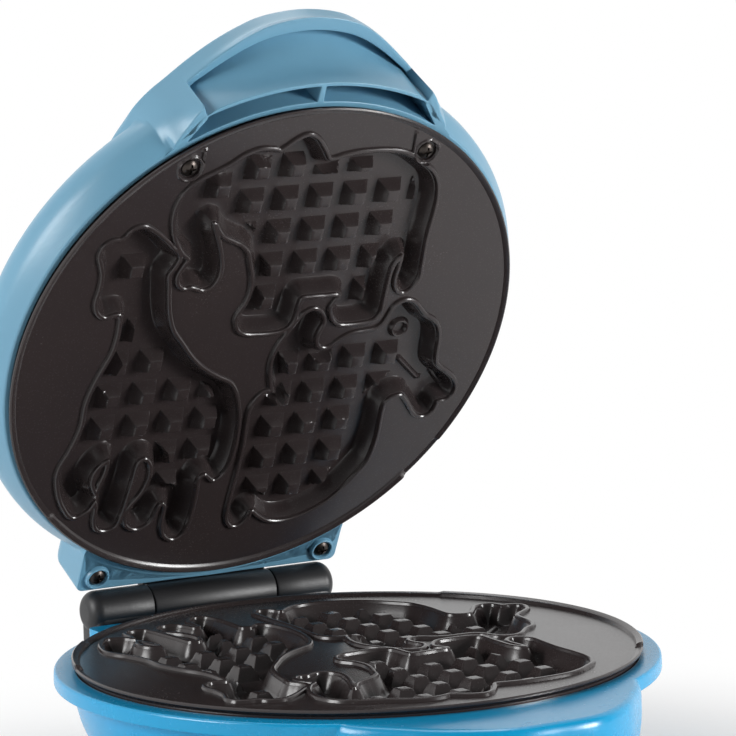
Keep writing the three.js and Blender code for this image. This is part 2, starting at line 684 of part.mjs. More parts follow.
/** An open stretch of a smooth curve through shares, mirrored about X = 0, from left to right. */
function mirroredCurve(shares) {
  const right = shares.map(([x, y]) => new THREE.Vector3(x * drawingReach, y * drawingReach, 0));
  const left = right.slice(1).reverse().map((p) => new THREE.Vector3(-p.x, p.y, 0));
  const curve = new THREE.CatmullRomCurve3([...left, ...right], false, 'centripetal');
  return curve.getSpacedPoints(smallSegments).map((p) => new THREE.Vector2(p.x, p.y));
}

const fenceArc = (radius, halfWidth) => {
  const points = [];
  for (let i = 0; i <= smallSegments; i++) {
    const x = halfWidth * (1 - 2 * i / smallSegments);
    points.push(new THREE.Vector2(x, -Math.sqrt(radius * radius - x * x)));
  }
  return points;
};

/** The finger recess: deep between the fence and the lip, and open to the front below the lip. */
function fingerRecess() {
  const fence = fenceArc(fenceRadius + fenceThickness / 2, recessHalfWidth);
  const front = -drawingReach - fenceRadius;
  const opening = slab([
    ...fence, new THREE.Vector2(-recessHalfWidth, front), new THREE.Vector2(recessHalfWidth, front),
  ], rimDepth - overrun, noseLipDepth);
  const well = slab([...fence, ...mirroredCurve(noseLipShares)], noseLipDepth - overrun, recessCeiling);
  return join(opening, well);
}

/** One of the two blind pockets between the plate's rim and the fence; side is -1 or 1. */
function nosePocket(side) {
  const outer = fenceArc(fenceRadius - fenceThickness / 2, pocketEndOuter);
  const inner = fenceArc(rimOuter, pocketEndInner).reverse();
  const both = slab([...outer, ...inner], rimDepth - overrun, pocketDepth);
  const front = -drawingReach - fenceRadius;
  const half = block(
    [side * pocketRib / 2, 0, rimDepth - 2 * overrun],
    [side * drawingReach, front, pocketDepth + overrun]);
  return both.intersect(half);
}

/** The lid's moulding, drawn closed: its outside, its hollow, the nose, the tail and the screw bosses. */
function lidShell() {
  const outside = turned([
    [0, rimDepth], [rimOuter, rimDepth], [lidFlareRadius, lidFlareDepth], [lidFlareRadius, lidWaistDepth],
    [(lidFlareRadius * 2 + lidShoulderRadius) / 3, (lidWaistDepth + lidShoulderDepth) / 2],
    [lidShoulderRadius, lidShoulderDepth], [lidCrownRadius, lidCrownDepth],
    [lidCrownRadius * 0.76, (lidCrownDepth + lidTopDepth) / 2], [lidCrownRadius * 0.43, lidTopDepth - shellWall / 8],
    [0, lidTopDepth],
  ]);
  const hollow = turned([
    [0, rimDepth - overrun], [rimInner, rimDepth - overrun], [rimInner, ledgeDepth], [ledgeInner, ledgeDepth],
    [ledgeInner, ledgeDepth + ledgeThickness],
    [lidFlareRadius - shellWall, lidFlareDepth + shellWall], [lidFlareRadius - shellWall, lidWaistDepth],
    [lidShoulderRadius - shellWall, lidShoulderDepth - shellWall * 0.8],
    [lidCrownRadius - shellWall / 2, lidCrownDepth - shellWall],
    [lidCrownRadius * 0.43, lidTopDepth - shellWall * 1.2], [0, lidTopDepth - shellWall],
  ]);
  const core = turned([
    [0, rimDepth - overrun], [rimInner, rimDepth - overrun], [rimInner, lidShoulderDepth],
    [0, lidShoulderDepth],
  ]);
  const nose = noseLoft(nosePlan(lidNoseShares), [
    [0, rimDepth], [0, noseTopDepth - noseRounding], [noseRounding * 0.3, noseTopDepth - noseRounding * 0.3],
    [noseRounding, noseTopDepth],
  ]);
  const tailPlan = (margin) => [
    [tailHalfWidth - margin, 0], [tailHalfWidth - margin, shellBack - margin],
    [margin - tailHalfWidth, shellBack - margin], [margin - tailHalfWidth, 0],
  ].map(([x, y]) => new THREE.Vector2(x, y));
  const tail = loft([
    ringAt(tailPlan(0), rimDepth), ringAt(tailPlan(0), tailTopDepth - tailRounding),
    ringAt(tailPlan(tailRounding * 0.3), tailTopDepth - tailRounding * 0.3),
    ringAt(tailPlan(tailRounding), tailTopDepth),
  ]);
  const added = cut(join(nose, tail), core, turned([
    [0, lidShoulderDepth - overrun], [lidCrownRadius - shellWall, lidShoulderDepth - overrun],
    [lidCrownRadius - shellWall, lidTopDepth], [0, lidTopDepth],
  ]));
  const bosses = plateScrewPlaces.map(([, x]) => bar(
    x, plateScrewY, bossRadius, plateBackDepth + clearance, lidCrownDepth - shellWall / 2));
  const bores = plateScrewPlaces.map(([, x]) => bar(
    x, plateScrewY, screwHole, plateBackDepth - overrun, faceDepth + plateScrewLength + clearance));
  const slotFloor = rimDepth + tailFloor;
  const leafSlot = cut(
    block(
      [-knuckleOuter - clearance, 0, slotFloor],
      [knuckleOuter + clearance, shellBack + overrun, slotFloor + leafThickness + 2 * clearance]),
    bar(0, 0, rimOuter, slotFloor - overrun, slotFloor + leafThickness + overrun, turnSegments));
  const tailBores = [-tailScrewX, tailScrewX].map((x) => bar(
    x, tailScrewY, screwHole, rimDepth - overrun, rimDepth + tailScrewLength + clearance));
  const lampBores = [-lampX, lampX].map((x) => bar(
    x, lampY, lensRadius + clearance, lidTopDepth - lensLength, lidTopDepth + overrun));
  return cut(join(cut(outside, hollow), added, ...bosses),
    fingerRecess(), nosePocket(-1), nosePocket(1), leafSlot, ...tailBores, ...bores, ...lampBores);
}

/** The lid's knuckle and the leaf that the tail screws hold inside the tail. */
function hingeBarrel() {
  const halfLength = knuckleInner - clearance;
  const leafTop = rimDepth + tailFloor + clearance;
  const knuckle = new THREE.Shape().absarc(hingeSetback, 0, knuckleRadius, 0, Math.PI * 2);
  const bore = new THREE.Shape().absarc(hingeSetback, 0, pinRadius + clearance, 0, Math.PI * 2);
  const leaf = cut(
    join(
      block([-knuckleOuter, 0, leafTop], [knuckleOuter, shellBack - leafInset, leafTop + leafThickness]),
      block([-halfLength, 0, leafTop], [halfLength, hingeSetback, leafTop + leafThickness])),
    bar(0, 0, rimOuter + clearance, leafTop - overrun, leafTop + leafThickness + overrun, turnSegments));
  return cut(
    join(sectionAlongX(knuckle, -halfLength, halfLength), leaf),
    sectionAlongX(bore, -halfLength - overrun, halfLength + overrun),
    ...[-tailScrewX, tailScrewX].map((x) => bar(x, tailScrewY, screwHole, 0, leafTop + leafThickness + overrun)));
}

/** The base's moulding: bowl, flange, nose and hinge bracket, hollow inside. */
function baseShell() {
  const outerBowl = turned([
    [0, rimDepth], [flangeRadius - flangeRounding, rimDepth], [flangeRadius, rimDepth + flangeRounding],
    [flangeRadius, flangeDepth], [bowlTopRadius, flangeDepth + clearance * 2], [bowlMidRadius, bowlMidDepth],
    [bowlLowRadius, bowlLowDepth], [bowlFootRadius, bowlFootDepth],
    [bowlFootRadius - flangeRounding, partingHeight], [0, partingHeight],
  ]);
  const innerBowl = turned([
    [0, rimDepth - overrun], [rimInner, rimDepth - overrun], [rimInner, ledgeDepth], [ledgeInner, ledgeDepth],
    [ledgeInner, flangeDepth + shellWall], [bowlMidRadius - shellWall, bowlMidDepth],
    [bowlLowRadius - shellWall, bowlLowDepth - clearance],
    [coverRadius + clearance, coverTopDepth - shellWall], [coverRadius + clearance, partingHeight + overrun],
    [0, partingHeight + overrun],
  ]);
  const plan = nosePlan(baseNoseShares);
  const outerNose = noseLoft(plan, [
    [0, rimDepth], [-baseNoseSwell * 0.7, rimDepth + baseNoseSwell * 0.3], [-baseNoseSwell, rimDepth + baseNoseSwell],
    [-baseNoseSwell, baseNoseFlankDepth], [0, baseNoseLowDepth], [baseNoseFootTuck, bowlFootDepth],
  ]);
  const innerNose = cut(noseLoft(plan, [
    [shellWall, rimDepth + shellWall], [shellWall - baseNoseSwell, rimDepth + shellWall + baseNoseSwell],
    [shellWall - baseNoseSwell, baseNoseFlankDepth], [shellWall, baseNoseLowDepth],
    [baseNoseFootTuck + shellWall - baseNoseTuck, bowlFootDepth - shellWall],
  ]), bar(0, 0, rimInner + shellWall, 0, flangeDepth + shellWall, turnSegments));
  const bracketBlock = (margin, from, to) => block(
    [-tailHalfWidth + margin, 0, from], [tailHalfWidth - margin, shellBack - margin, to]);
  const outerBracket = cut(bracketBlock(0, rimDepth, bracketDepth), bar(
    0, 0, ledgeInner, 0, bracketDepth + overrun, turnSegments));
  const innerBracket = cut(bracketBlock(shellWall, rimDepth + shellWall, bracketDepth - shellWall), bar(
    0, 0, rimInner + shellWall, 0, flangeDepth + shellWall, turnSegments));
  const outside = cut(join(outerBowl, outerNose, outerBracket), block(
    [-tailHalfWidth, shellBack, 0], [tailHalfWidth, flangeRadius + overrun, bracketDepth]));
  const coverBosses = coverScrewPlaces.map(([, x, y]) => join(
    bar(x, y, coverBossRadius, coverTopDepth - coverBossLength, coverTopDepth - clearance),
    bossWeb(x, y)).intersect(outside));
  const lugs = plateScrewPlaces.map(([, x]) => {
    const lugStart = Math.hypot(x, plateScrewY) - lugWidth / 2;
    const lug = new THREE.BoxGeometry(lugWidth, lugReach - lugStart, lugThickness);
    lug.translate(0, (lugReach + lugStart) / 2, -lugDepth - clearance - lugThickness / 2);
    return solidOf(lug.rotateZ(Math.atan2(-x, plateScrewY))).intersect(outside);
  });
  const postBosses = [-postScrewX, postScrewX].map((x) => alongY(
    x, postScrewDepth, bossRadius, shellBack - shellWall - postBossLength, shellBack - shellWall / 2));
  const postBores = [-postScrewX, postScrewX].map((x) => alongY(
    x, postScrewDepth, screwHole, shellBack - shellWall - postBossLength - overrun, shellBack + overrun));
  const glandBoss = alongY(0, glandDepth, glandFlangeRadius, bowlLowRadius - 2 * shellWall, bowlMidRadius,
    smallSegments * 2);
  const shell = join(cut(outside, innerBowl, innerNose, innerBracket), ...coverBosses, ...lugs, ...postBosses,
    glandBoss);
  return cut(shell, ...postBores,
    ...plateScrewPlaces.map(([, x]) => bar(x, plateScrewY, screwHole, lugDepth, lugDepth + lugThickness + overrun)),
    ...coverScrewPlaces.map(([, x, y]) => bar(
      x, y, screwHole, partingHeight - coverScrewLength - clearance, partingHeight)),
    alongY(0, glandDepth, glandRadius + clearance, heaterRadius, flangeRadius, smallSegments * 2));
}

/** A round bar along Y between two places. */
function alongY(x, depth, radius, fromY, toY, segments = smallSegments) {
  const geometry = new THREE.CylinderGeometry(radius, radius, toY - fromY, segments);
  return solidOf(geometry.translate(x, (fromY + toY) / 2, -depth));
}

const coverScrewPlaces = [
  ['front', 0, -coverBossReach], ['left', -coverBossReach, 0],
  ['right', coverBossReach, 0], ['back', 0, coverBossReach],
];

/** A round bar along X, centred. */
function alongX(radius, length) {
  return solidOf(new THREE.CylinderGeometry(radius, radius, length, smallSegments).rotateZ(Math.PI / 2));
}

/** The rib that ties a cover boss to the bowl. */
function bossWeb(x, y) {
  const rib = new THREE.BoxGeometry(coverBossWeb, bowlLowRadius - coverBossReach, coverBossLength - clearance);
  rib.translate(0, (bowlLowRadius + coverBossReach) / 2, -coverTopDepth + clearance
    + (coverBossLength - clearance) / 2);
  rib.rotateZ(Math.atan2(-x, y));
  return solidOf(rib);
}

const footPlaces = [
  ['front_left', -1, -1], ['front_right', 1, -1], ['back_left', -1, 1], ['back_right', 1, 1],
].map(([name, i, j]) => [name, i * footReach, j * footReach]);

/** A rounded slot along X as a hole for a flat shape. */
function slotHole(x, y, length, width) {
  const hole = new THREE.Path();
  hole.absarc(x + (length - width) / 2, y, width / 2, -Math.PI / 2, Math.PI / 2);
  hole.absarc(x - (length - width) / 2, y, width / 2, Math.PI / 2, Math.PI * 3 / 2);
  hole.closePath();
  return hole;
}

/** The flat cover under the base, with its vents and the holes for feet and screws. */
function bottomCover() {
  const disc = turned([
    [0, coverTopDepth], [coverRadius, coverTopDepth], [coverRadius, partingHeight], [0, partingHeight],
  ]);
  const vents = [];
  for (const side of [-1, 1]) {
    for (let i = 0; i < ventCount; i++) {
      const y = (i - (ventCount - 1) / 2) * ventPitch;
      vents.push(slotSolid(side * (ventSetback + ventLength / 2), y));
    }
  }
  const footHoles = footPlaces.map(([, x, y]) => bar(
    x, y, footStemRadius + clearance, coverTopDepth - overrun, partingHeight + overrun));
  const screwHoles = coverScrewPlaces.map(([, x, y]) => bar(
    x, y, screwHole, coverTopDepth - overrun, partingHeight + overrun));
  return cut(disc, ...vents, ...footHoles, ...screwHoles);
}

/** The solid that cuts one vent. */
function slotSolid(x, y) {
  const shape = new THREE.Shape(slotHole(x, y, ventLength, ventWidth).getPoints(3));
  const geometry = new THREE.ExtrudeGeometry(shape, { depth: coverThickness + 2 * overrun, bevelEnabled: false });
  return solidOf(geometry.translate(0, 0, -partingHeight - overrun));
}

/** A rubber foot whose stem plugs into the cover. */
const foot = () => turned([
  [0, coverTopDepth], [footStemRadius, coverTopDepth], [footStemRadius, partingHeight + clearance],
  [footRadius, partingHeight + clearance], [footRadius * 0.85, partingHeight + footHeight],
  [0, partingHeight + footHeight],
], smallSegments);

/** A hinge post: the outer knuckle on a block that is screwed to the base's bracket; side is -1 or 1. */
function hingePost(side) {
  const shape = new THREE.Shape();
  shape.moveTo(knuckleFace, -postBottomDepth);
  shape.lineTo(knuckleFace, 0);
  shape.absarc(hingeSetback, 0, knuckleRadius, Math.PI, 0, true);
  shape.lineTo(hingeSetback + knuckleRadius, -postBottomDepth + knuckleRadius);
  shape.lineTo(hingeSetback, -postBottomDepth);
  shape.closePath();
  const bore = new THREE.Shape().absarc(hingeSetback, 0, pinRadius + clearance, 0, Math.PI * 2);
  const pinEnd = knuckleOuter - 2 * knuckleRounding;
  const from = side > 0 ? knuckleInner : -knuckleOuter;
  const to = side > 0 ? knuckleOuter : -knuckleInner;
  const boreFrom = side > 0 ? knuckleInner - overrun : -pinEnd - clearance;
  const boreTo = side > 0 ? pinEnd + clearance : overrun - knuckleInner;
  return cut(
    sectionAlongX(shape, from, to, knuckleRounding),
    sectionAlongX(bore, boreFrom, boreTo),
    alongY(side * postScrewX, postScrewDepth, screwHole, knuckleFace - overrun, flangeRadius + drawingReach),
    alongY(side * postScrewX, postScrewDepth, screwHeadRadius + clearance, hingeSetback, flangeRadius + drawingReach));
}

/** The strap that carries the thermostat, stepped down from the pan to pass under it. */
function thermostatBracket() {
  const top = panBackDepth + clearance;
  const low = top + thermostatHeight + clearance;
  const start = panScrewX - strapLead;
  const bend = thermostatX - thermostatRadius - strapLead / 2;
  const end = thermostatX + thermostatRadius;
  const profile = [
    [start, top], [bend + strapThickness, top], [bend + strapThickness, low], [end, low],
    [end, low + strapThickness], [bend, low + strapThickness], [bend, top + strapThickness],
    [start, top + strapThickness],
  ].map(([x, depth]) => new THREE.Vector2(x, -depth));
  const strap = new THREE.ExtrudeGeometry(new THREE.Shape(profile), { depth: strapWidth, bevelEnabled: false });
  strap.rotateX(Math.PI / 2).translate(0, strapWidth / 2 + panScrewY, 0);
  return cut(solidOf(strap), bar(panScrewX, panScrewY, screwHole, top - overrun, top + strapThickness + overrun));
}

/** The clip that holds the thermal fuse against the pan: an arch with two feet. */
function fuseClip() {
  const top = panBackDepth + clearance;
  const inner = fuseRadius + clearance;
  const outer = inner + clipThickness;
  const depth = top + fuseRadius;
  const shape = new THREE.Shape();
  shape.moveTo(fuseY - outer - clipFoot, -top);
  shape.lineTo(fuseY - inner, -top);
  shape.lineTo(fuseY - inner, -depth);
  shape.absarc(fuseY, -depth, inner, Math.PI, 0, false);
  shape.lineTo(fuseY + inner, -top);
  shape.lineTo(fuseY + outer + clipFoot, -top);
  shape.lineTo(fuseY + outer + clipFoot, -top - clipThickness);
  shape.lineTo(fuseY + outer, -top - clipThickness);
  shape.lineTo(fuseY + outer, -depth);
  shape.absarc(fuseY, -depth, outer, 0, Math.PI, true);
  shape.lineTo(fuseY - outer, -top - clipThickness);
  shape.lineTo(fuseY - outer - clipFoot, -top - clipThickness);
  shape.closePath();
  return sectionAlongX(shape, -clipWidth / 2, clipWidth / 2);
}

/** The terminal block on the cover, with three bores for wires. */
function terminalBlock() {
  const low = coverTopDepth - clearance;
  const body = block([-blockLength / 2, blockY - blockWidth / 2, low], [
    blockLength / 2, blockY + blockWidth / 2, low - blockHeight]);
  return cut(body, ...[-1, 0, 1].map((i) => alongY(
    i * blockLength / 3, low - blockHeight / 2, blockBore, blockY - blockWidth, blockY + blockWidth)));
}

/** The gland in the base's rear wall: a flange outside, a sleeve through the wall, and a bore for a cord. */
function cordGland() {
  const face = bowlMidRadius + clearance;
  const flange = alongY(0, glandDepth, glandFlangeRadius, face, face + glandFlange, smallSegments * 2);
  const sleeve = alongY(0, glandDepth, glandRadius, face - glandLength, face + glandFlange / 2, smallSegments * 2);
  return cut(join(flange, sleeve), alongY(
    0, glandDepth, glandBore, face - glandLength - overrun, face + glandFlange + overrun, smallSegments * 2));
}

/** A lamp lens: a low head on the lid and a stem with a blind bore for the neon lamp. */
const lampLens = () => turned([
  [0, lensHeadHeight], [lensHeadRadius * 0.7, lensHeadHeight], [lensHeadRadius, 0], [lensRadius, 0],
  [lensRadius, -lensLength], [lensBore, -lensLength], [lensBore, -lensHeadHeight], [0, -lensHeadHeight],
], smallSegments);

/** A neon lamp: a glass capsule that sits in a lens. */
const neonLamp = () => turned([
  [0, 0], [neonRadius * 0.7, -neonRadius * 0.3], [neonRadius, -neonRadius],
  [neonRadius, lensHeadHeight - lensLength + clearance], [0, lensHeadHeight - lensLength + clearance],
], smallSegments);

/** The holder across the backs of both lenses, with a socket that closes each bore. */
function lampHolder() {
  const deep = lampSeatDepth + clearance - lensLength;
  const reach = lampX + lensRadius + holderWall;
  const plate = block([-reach, lampY - lensRadius - holderWall, deep - clearance],
    [reach, lampY + lensRadius + holderWall, deep - clearance - holderThickness]);
  return plate;
}

const colours = {
  lidBlue: [0x6f9fb8, 0.32, 0],
  baseBlue: [0x0e8fcb, 0.28, 0],
  nonStick: [0x33302e, 0.38, 0.25],
  blackPlastic: [0x161719, 0.4, 0],
  steel: [0xb9bcbf, 0.3, 0.95],
  aluminium: [0xc4c6c8, 0.35, 0.9],
  rubber: [0x1c1c1d, 0.85, 0],
  insulator: [0xd9d2bd, 0.6, 0],
  redLens: [0xb01c14, 0.2, 0],
  greenLens: [0x2b8f3c, 0.2, 0],
  glass: [0xe0d8d0, 0.1, 0],
};

/** A named mesh with its own material, at a depth from the parting plane. */
function piece(name, solid, [colour, roughness, metalness], x = 0, y = 0, depth = 0) {
  const material = new THREE.MeshStandardMaterial({ color: colour, roughness, metalness, flatShading: true });
  const mesh = new THREE.Mesh(geometryOf(solid), material);
  mesh.name = name;
  mesh.position.set(x, y, -depth);
  return mesh;
}

/** The same piece for the lid, whose depths run upwards. */
function lidPiece(name, solid, finish, x = 0, y = 0, depth = 0) {
  return piece(name, turnedOver(solid), finish, x, y, -depth);
}

const seatedPanBack = panBackDepth + clearance;
const steelScrew = panScrew(plateScrewLength, true);
const shortScrew = turnedOver(panScrew(panScrewLength));

const base = new THREE.Group();
base.name = 'base';
base.position.z = partingHeight;
base.add(
  piece('base_shell', baseShell(), colours.baseBlue),
  piece('lower_plate', castPlate(lowerLip, backBosses), colours.nonStick),
  piece('lower_heater', heater(), colours.steel),
  piece('lower_reflector', reflectorPan(), colours.aluminium),
  piece('lower_reflector_screw', shortScrew, colours.steel, panScrewX, panScrewY,
    seatedPanBack + strapThickness + clearance),
  piece('thermostat_bracket', thermostatBracket(), colours.aluminium),
  piece('thermostat', turned([
    [0, 0], [thermostatRadius, 0], [thermostatRadius, thermostatHeight * 0.7],
    [thermostatRadius * 0.8, thermostatHeight], [0, thermostatHeight],
  ], smallSegments * 2), colours.insulator, thermostatX, panScrewY, seatedPanBack),
  piece('thermal_fuse', alongX(fuseRadius, fuseLength), colours.steel, 0, fuseY, seatedPanBack + fuseRadius),
  piece('fuse_clip', fuseClip(), colours.aluminium),
  piece('terminal_block', terminalBlock(), colours.insulator),
  piece('cord_gland', cordGland(), colours.blackPlastic),
  piece('bottom_cover', bottomCover(), colours.blackPlastic),
  piece('hinge_pin', alongX(pinRadius, 2 * (knuckleOuter - 2 * knuckleRounding)), colours.steel, 0, hingeSetback),
);
for (const [name, x] of plateScrewPlaces) {
  base.add(piece(`lower_plate_screw_${name}`, turnedOver(panScrew(panScrewLength)), colours.steel, x, plateScrewY,
    lugDepth + clearance + lugThickness + clearance));
}
for (const [name, side] of [['left', -1], ['right', 1]]) {
  base.add(piece(`hinge_post_${name}`, hingePost(side), colours.blackPlastic));
  const screw = piece(`hinge_post_screw_${name}`, panScrew(postScrewLength), colours.steel,
    side * postScrewX, hingeSetback + clearance, postScrewDepth);
  screw.rotation.x = -Math.PI / 2;
  base.add(screw);
}
for (const [name, x, y] of coverScrewPlaces) {
  base.add(piece(`cover_screw_${name}`, turnedOver(panScrew(coverScrewLength)), colours.steel, x, y,
    partingHeight + clearance));
}
for (const [name, x, y] of footPlaces) base.add(piece(`foot_${name}`, foot(), colours.rubber, x, y));

const lidParts = new THREE.Group();
lidParts.name = 'lid_parts';
lidParts.position.y = -hingeSetback;
lidParts.add(
  lidPiece('lid_shell', lidShell(), colours.lidBlue),
  lidPiece('upper_plate', castPlate(upperLip, throughHoles), colours.nonStick),
  lidPiece('upper_heater', heater(), colours.steel),
  lidPiece('upper_reflector', reflectorPan(), colours.aluminium),
  lidPiece('upper_reflector_screw', shortScrew, colours.steel, panScrewX, panScrewY, seatedPanBack),
  lidPiece('hinge_barrel', hingeBarrel(), colours.blackPlastic),
  lidPiece('lamp_holder', lampHolder(), colours.insulator),
);
for (const [name, x] of plateScrewPlaces) {
  lidParts.add(lidPiece(`upper_plate_screw_${name}`, steelScrew, colours.steel, x, plateScrewY, faceDepth - clearance));
}
for (const [name, side] of [['left', -1], ['right', 1]]) {
  lidParts.add(lidPiece(`tail_screw_${name}`, panScrew(tailScrewLength, true), colours.steel,
    side * tailScrewX, tailScrewY, rimDepth - clearance));
}
for (const [name, side, lens] of [['power', -1, colours.redLens], ['ready', 1, colours.greenLens]]) {
  lidParts.add(lidPiece(`${name}_lens`, lampLens(), lens, side * lampX, lampY, lampSeatDepth + clearance));
  lidParts.add(lidPiece(`${name}_lamp`, neonLamp(), colours.glass, side * lampX, lampY,
    lampSeatDepth - lensHeadHeight));
}

const lid = new THREE.Group();
lid.name = 'lid';
lid.position.set(0, hingeSetback, partingHeight);
lid.rotation.x = -THREE.MathUtils.degToRad(openAngle);
lid.add(lidParts);

const waffleMaker = new THREE.Group();
waffleMaker.name = 'waffle_maker';
waffleMaker.add(base, lid);
waffleMaker.updateMatrixWorld(true);
const bounds = new THREE.Box3().setFromObject(waffleMaker, true);
waffleMaker.position.set(0, -(bounds.min.y + bounds.max.y) / 2, -bounds.min.z);
export default waffleMaker;
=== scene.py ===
"""Looks of the animal waffle maker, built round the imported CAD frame.

The CAD frame carries every piece that the fine meshes below don't replace. Lengths are written in millimetres and
become metres in one place, when a mesh is made. A depth is measured from the parting plane of the closed halves,
into either half, so one description serves both plates.
"""

import json
import logging
import math
from dataclasses import dataclass, field
from enum import Enum
from typing import Sequence

import bpy
import numpy as np
from mathutils import Matrix, Vector
from mathutils.geometry import delaunay_2d_cdt


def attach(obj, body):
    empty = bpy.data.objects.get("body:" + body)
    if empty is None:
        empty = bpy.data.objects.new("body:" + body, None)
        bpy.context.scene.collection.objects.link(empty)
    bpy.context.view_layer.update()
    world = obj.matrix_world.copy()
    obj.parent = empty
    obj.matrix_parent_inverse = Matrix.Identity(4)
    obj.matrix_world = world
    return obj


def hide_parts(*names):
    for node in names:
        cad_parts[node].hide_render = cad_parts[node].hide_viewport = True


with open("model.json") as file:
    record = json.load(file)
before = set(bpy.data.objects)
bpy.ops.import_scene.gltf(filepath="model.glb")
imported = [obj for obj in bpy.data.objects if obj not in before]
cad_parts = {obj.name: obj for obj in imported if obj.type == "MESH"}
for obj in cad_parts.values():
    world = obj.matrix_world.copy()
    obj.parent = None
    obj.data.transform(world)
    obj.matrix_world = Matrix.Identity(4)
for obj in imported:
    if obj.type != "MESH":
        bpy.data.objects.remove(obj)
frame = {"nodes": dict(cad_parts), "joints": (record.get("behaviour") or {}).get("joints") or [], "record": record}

log = logging.getLogger("waffle_maker")
MM = 0.001
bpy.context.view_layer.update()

Points = np.ndarray
Pair = tuple[float, float]


class Half(Enum):
    """The two halves of the waffle maker, named as their CAD bodies are."""

    BASE = "base"
    LID = "lid"


HINGE = frame["joints"][0]


@dataclass(frozen=True)
class Pose:
    """Where the halves lie in the shared frame at rest, in millimetres."""

    hinge: float = HINGE["pos_m"][1] / MM
    parting: float = HINGE["pos_m"][2] / MM
    setback: float = 106.8
    open_angle: float = math.radians(-HINGE["range_deg"][0])

    def place(self, points: Points, half: Half) -> Points:
        """Turns closed-lid points into frame points.

        Args:
            points: Rows of x, y from the plate's centre and depth.
            half: The half that the points belong to.

        Returns:
            Rows of x, y and z in the shared frame at rest.
        """
        x, back, depth = points[:, 0], points[:, 1] - self.setback, points[:, 2]
        if half is Half.BASE:
            return np.column_stack([x, self.hinge + back, self.parting - depth])
        cos, sin = math.cos(self.open_angle), math.sin(self.open_angle)
        return np.column_stack(
            [x, self.hinge + back * cos + depth * sin, self.parting - back * sin + depth * cos])

    def direction(self, vector: Sequence[float], half: Half) -> Vector:
        """Turns a closed-lid direction of x, y and depth into one of the shared frame at rest."""
        tips = self.place(np.array([(0.0, 0.0, 0.0), tuple(vector)]), half)
        return Vector(tips[1] - tips[0])


POSE = Pose()


@dataclass(frozen=True)
class PlateSizes:
    """Sizes of a cast plate, in millimetres; radii are from its centre, face, floor, back and crests are depths."""

    lip_radius: float = 95.4
    lip_width: float = 2.1
    lip_slope: float = 0.35
    lip_flare: float = 1.6
    lip_under: float = 3.0
    skirt_radius: float = 93.8
    skirt_depth: float = 6.2
    face_radius: float = 91.9
    back_radius: float = 91.0
    face: float = 1.4
    floor: float = 7.0
    back: float = 9.2
    draft: float = 3.2
    bead_width: float = 2.0
    bead_height: float = 1.15
    stud_pitch: float = 13.3
    stud_base: float = 9.4
    stud_top: float = 4.5
    stud_drop: float = 0.8
    stud_margin: float = 5.0
    low_crest: float = 0.7
    tall_crest: float = 0.15
    # half-width of the drawing that the animals' shares refer to, and how far it is moved to lie on the plate
    drawing: float = 100.0
    shift: float = 0.5


PLATE = PlateSizes()

GIRAFFE_SHARES = (
    (-0.588, -0.15), (-0.593, -0.05), (-0.628, 0.05), (-0.652, 0.15), (-0.652, 0.25), (-0.675, 0.345),
    (-0.705, 0.43), (-0.695, 0.5), (-0.66, 0.58), (-0.615, 0.63), (-0.57, 0.61), (-0.545, 0.57),
    (-0.53, 0.6), (-0.525, 0.66), (-0.51, 0.695), (-0.48, 0.705), (-0.45, 0.695), (-0.438, 0.65),
    (-0.43, 0.58), (-0.423, 0.5), (-0.418, 0.435), (-0.405, 0.415), (-0.38, 0.41), (-0.355, 0.435),
    (-0.342, 0.48), (-0.35, 0.54), (-0.37, 0.585), (-0.395, 0.62), (-0.405, 0.66), (-0.395, 0.695),
    (-0.36, 0.715), (-0.33, 0.708), (-0.31, 0.685), (-0.3, 0.645), (-0.292, 0.623), (-0.275, 0.613),
    (-0.258, 0.63), (-0.253, 0.68), (-0.248, 0.73), (-0.23, 0.765), (-0.2, 0.78), (-0.175, 0.768),
    (-0.163, 0.73), (-0.158, 0.66), (-0.16, 0.58), (-0.162, 0.535), (-0.153, 0.517), (-0.13, 0.508),
    (-0.11, 0.522), (-0.09, 0.538), (-0.07, 0.525), (-0.053, 0.49), (-0.045, 0.43), (-0.046, 0.36),
    (-0.055, 0.29), (-0.075, 0.22), (-0.098, 0.168), (-0.125, 0.135), (-0.17, 0.11), (-0.22, 0.08),
    (-0.26, 0.05), (-0.305, 0.005), (-0.345, -0.045), (-0.395, -0.11), (-0.42, -0.165), (-0.438, -0.23),
    (-0.452, -0.3), (-0.46, -0.345), (-0.44, -0.385), (-0.434, -0.413), (-0.47, -0.45), (-0.505, -0.483),
    (-0.56, -0.525), (-0.59, -0.538), (-0.62, -0.53), (-0.64, -0.505), (-0.66, -0.493), (-0.69, -0.49),
    (-0.713, -0.475), (-0.72, -0.445), (-0.708, -0.41), (-0.695, -0.37), (-0.693, -0.31), (-0.698, -0.26),
    (-0.685, -0.22), (-0.66, -0.202), (-0.63, -0.208), (-0.6, -0.205),
)
LEG_GAP_SHARES = (
    (-0.55, 0.555), (-0.575, 0.52), (-0.585, 0.48), (-0.575, 0.44), (-0.55, 0.41), (-0.525, 0.4),
    (-0.52, 0.45), (-0.53, 0.5), (-0.54, 0.54),
)
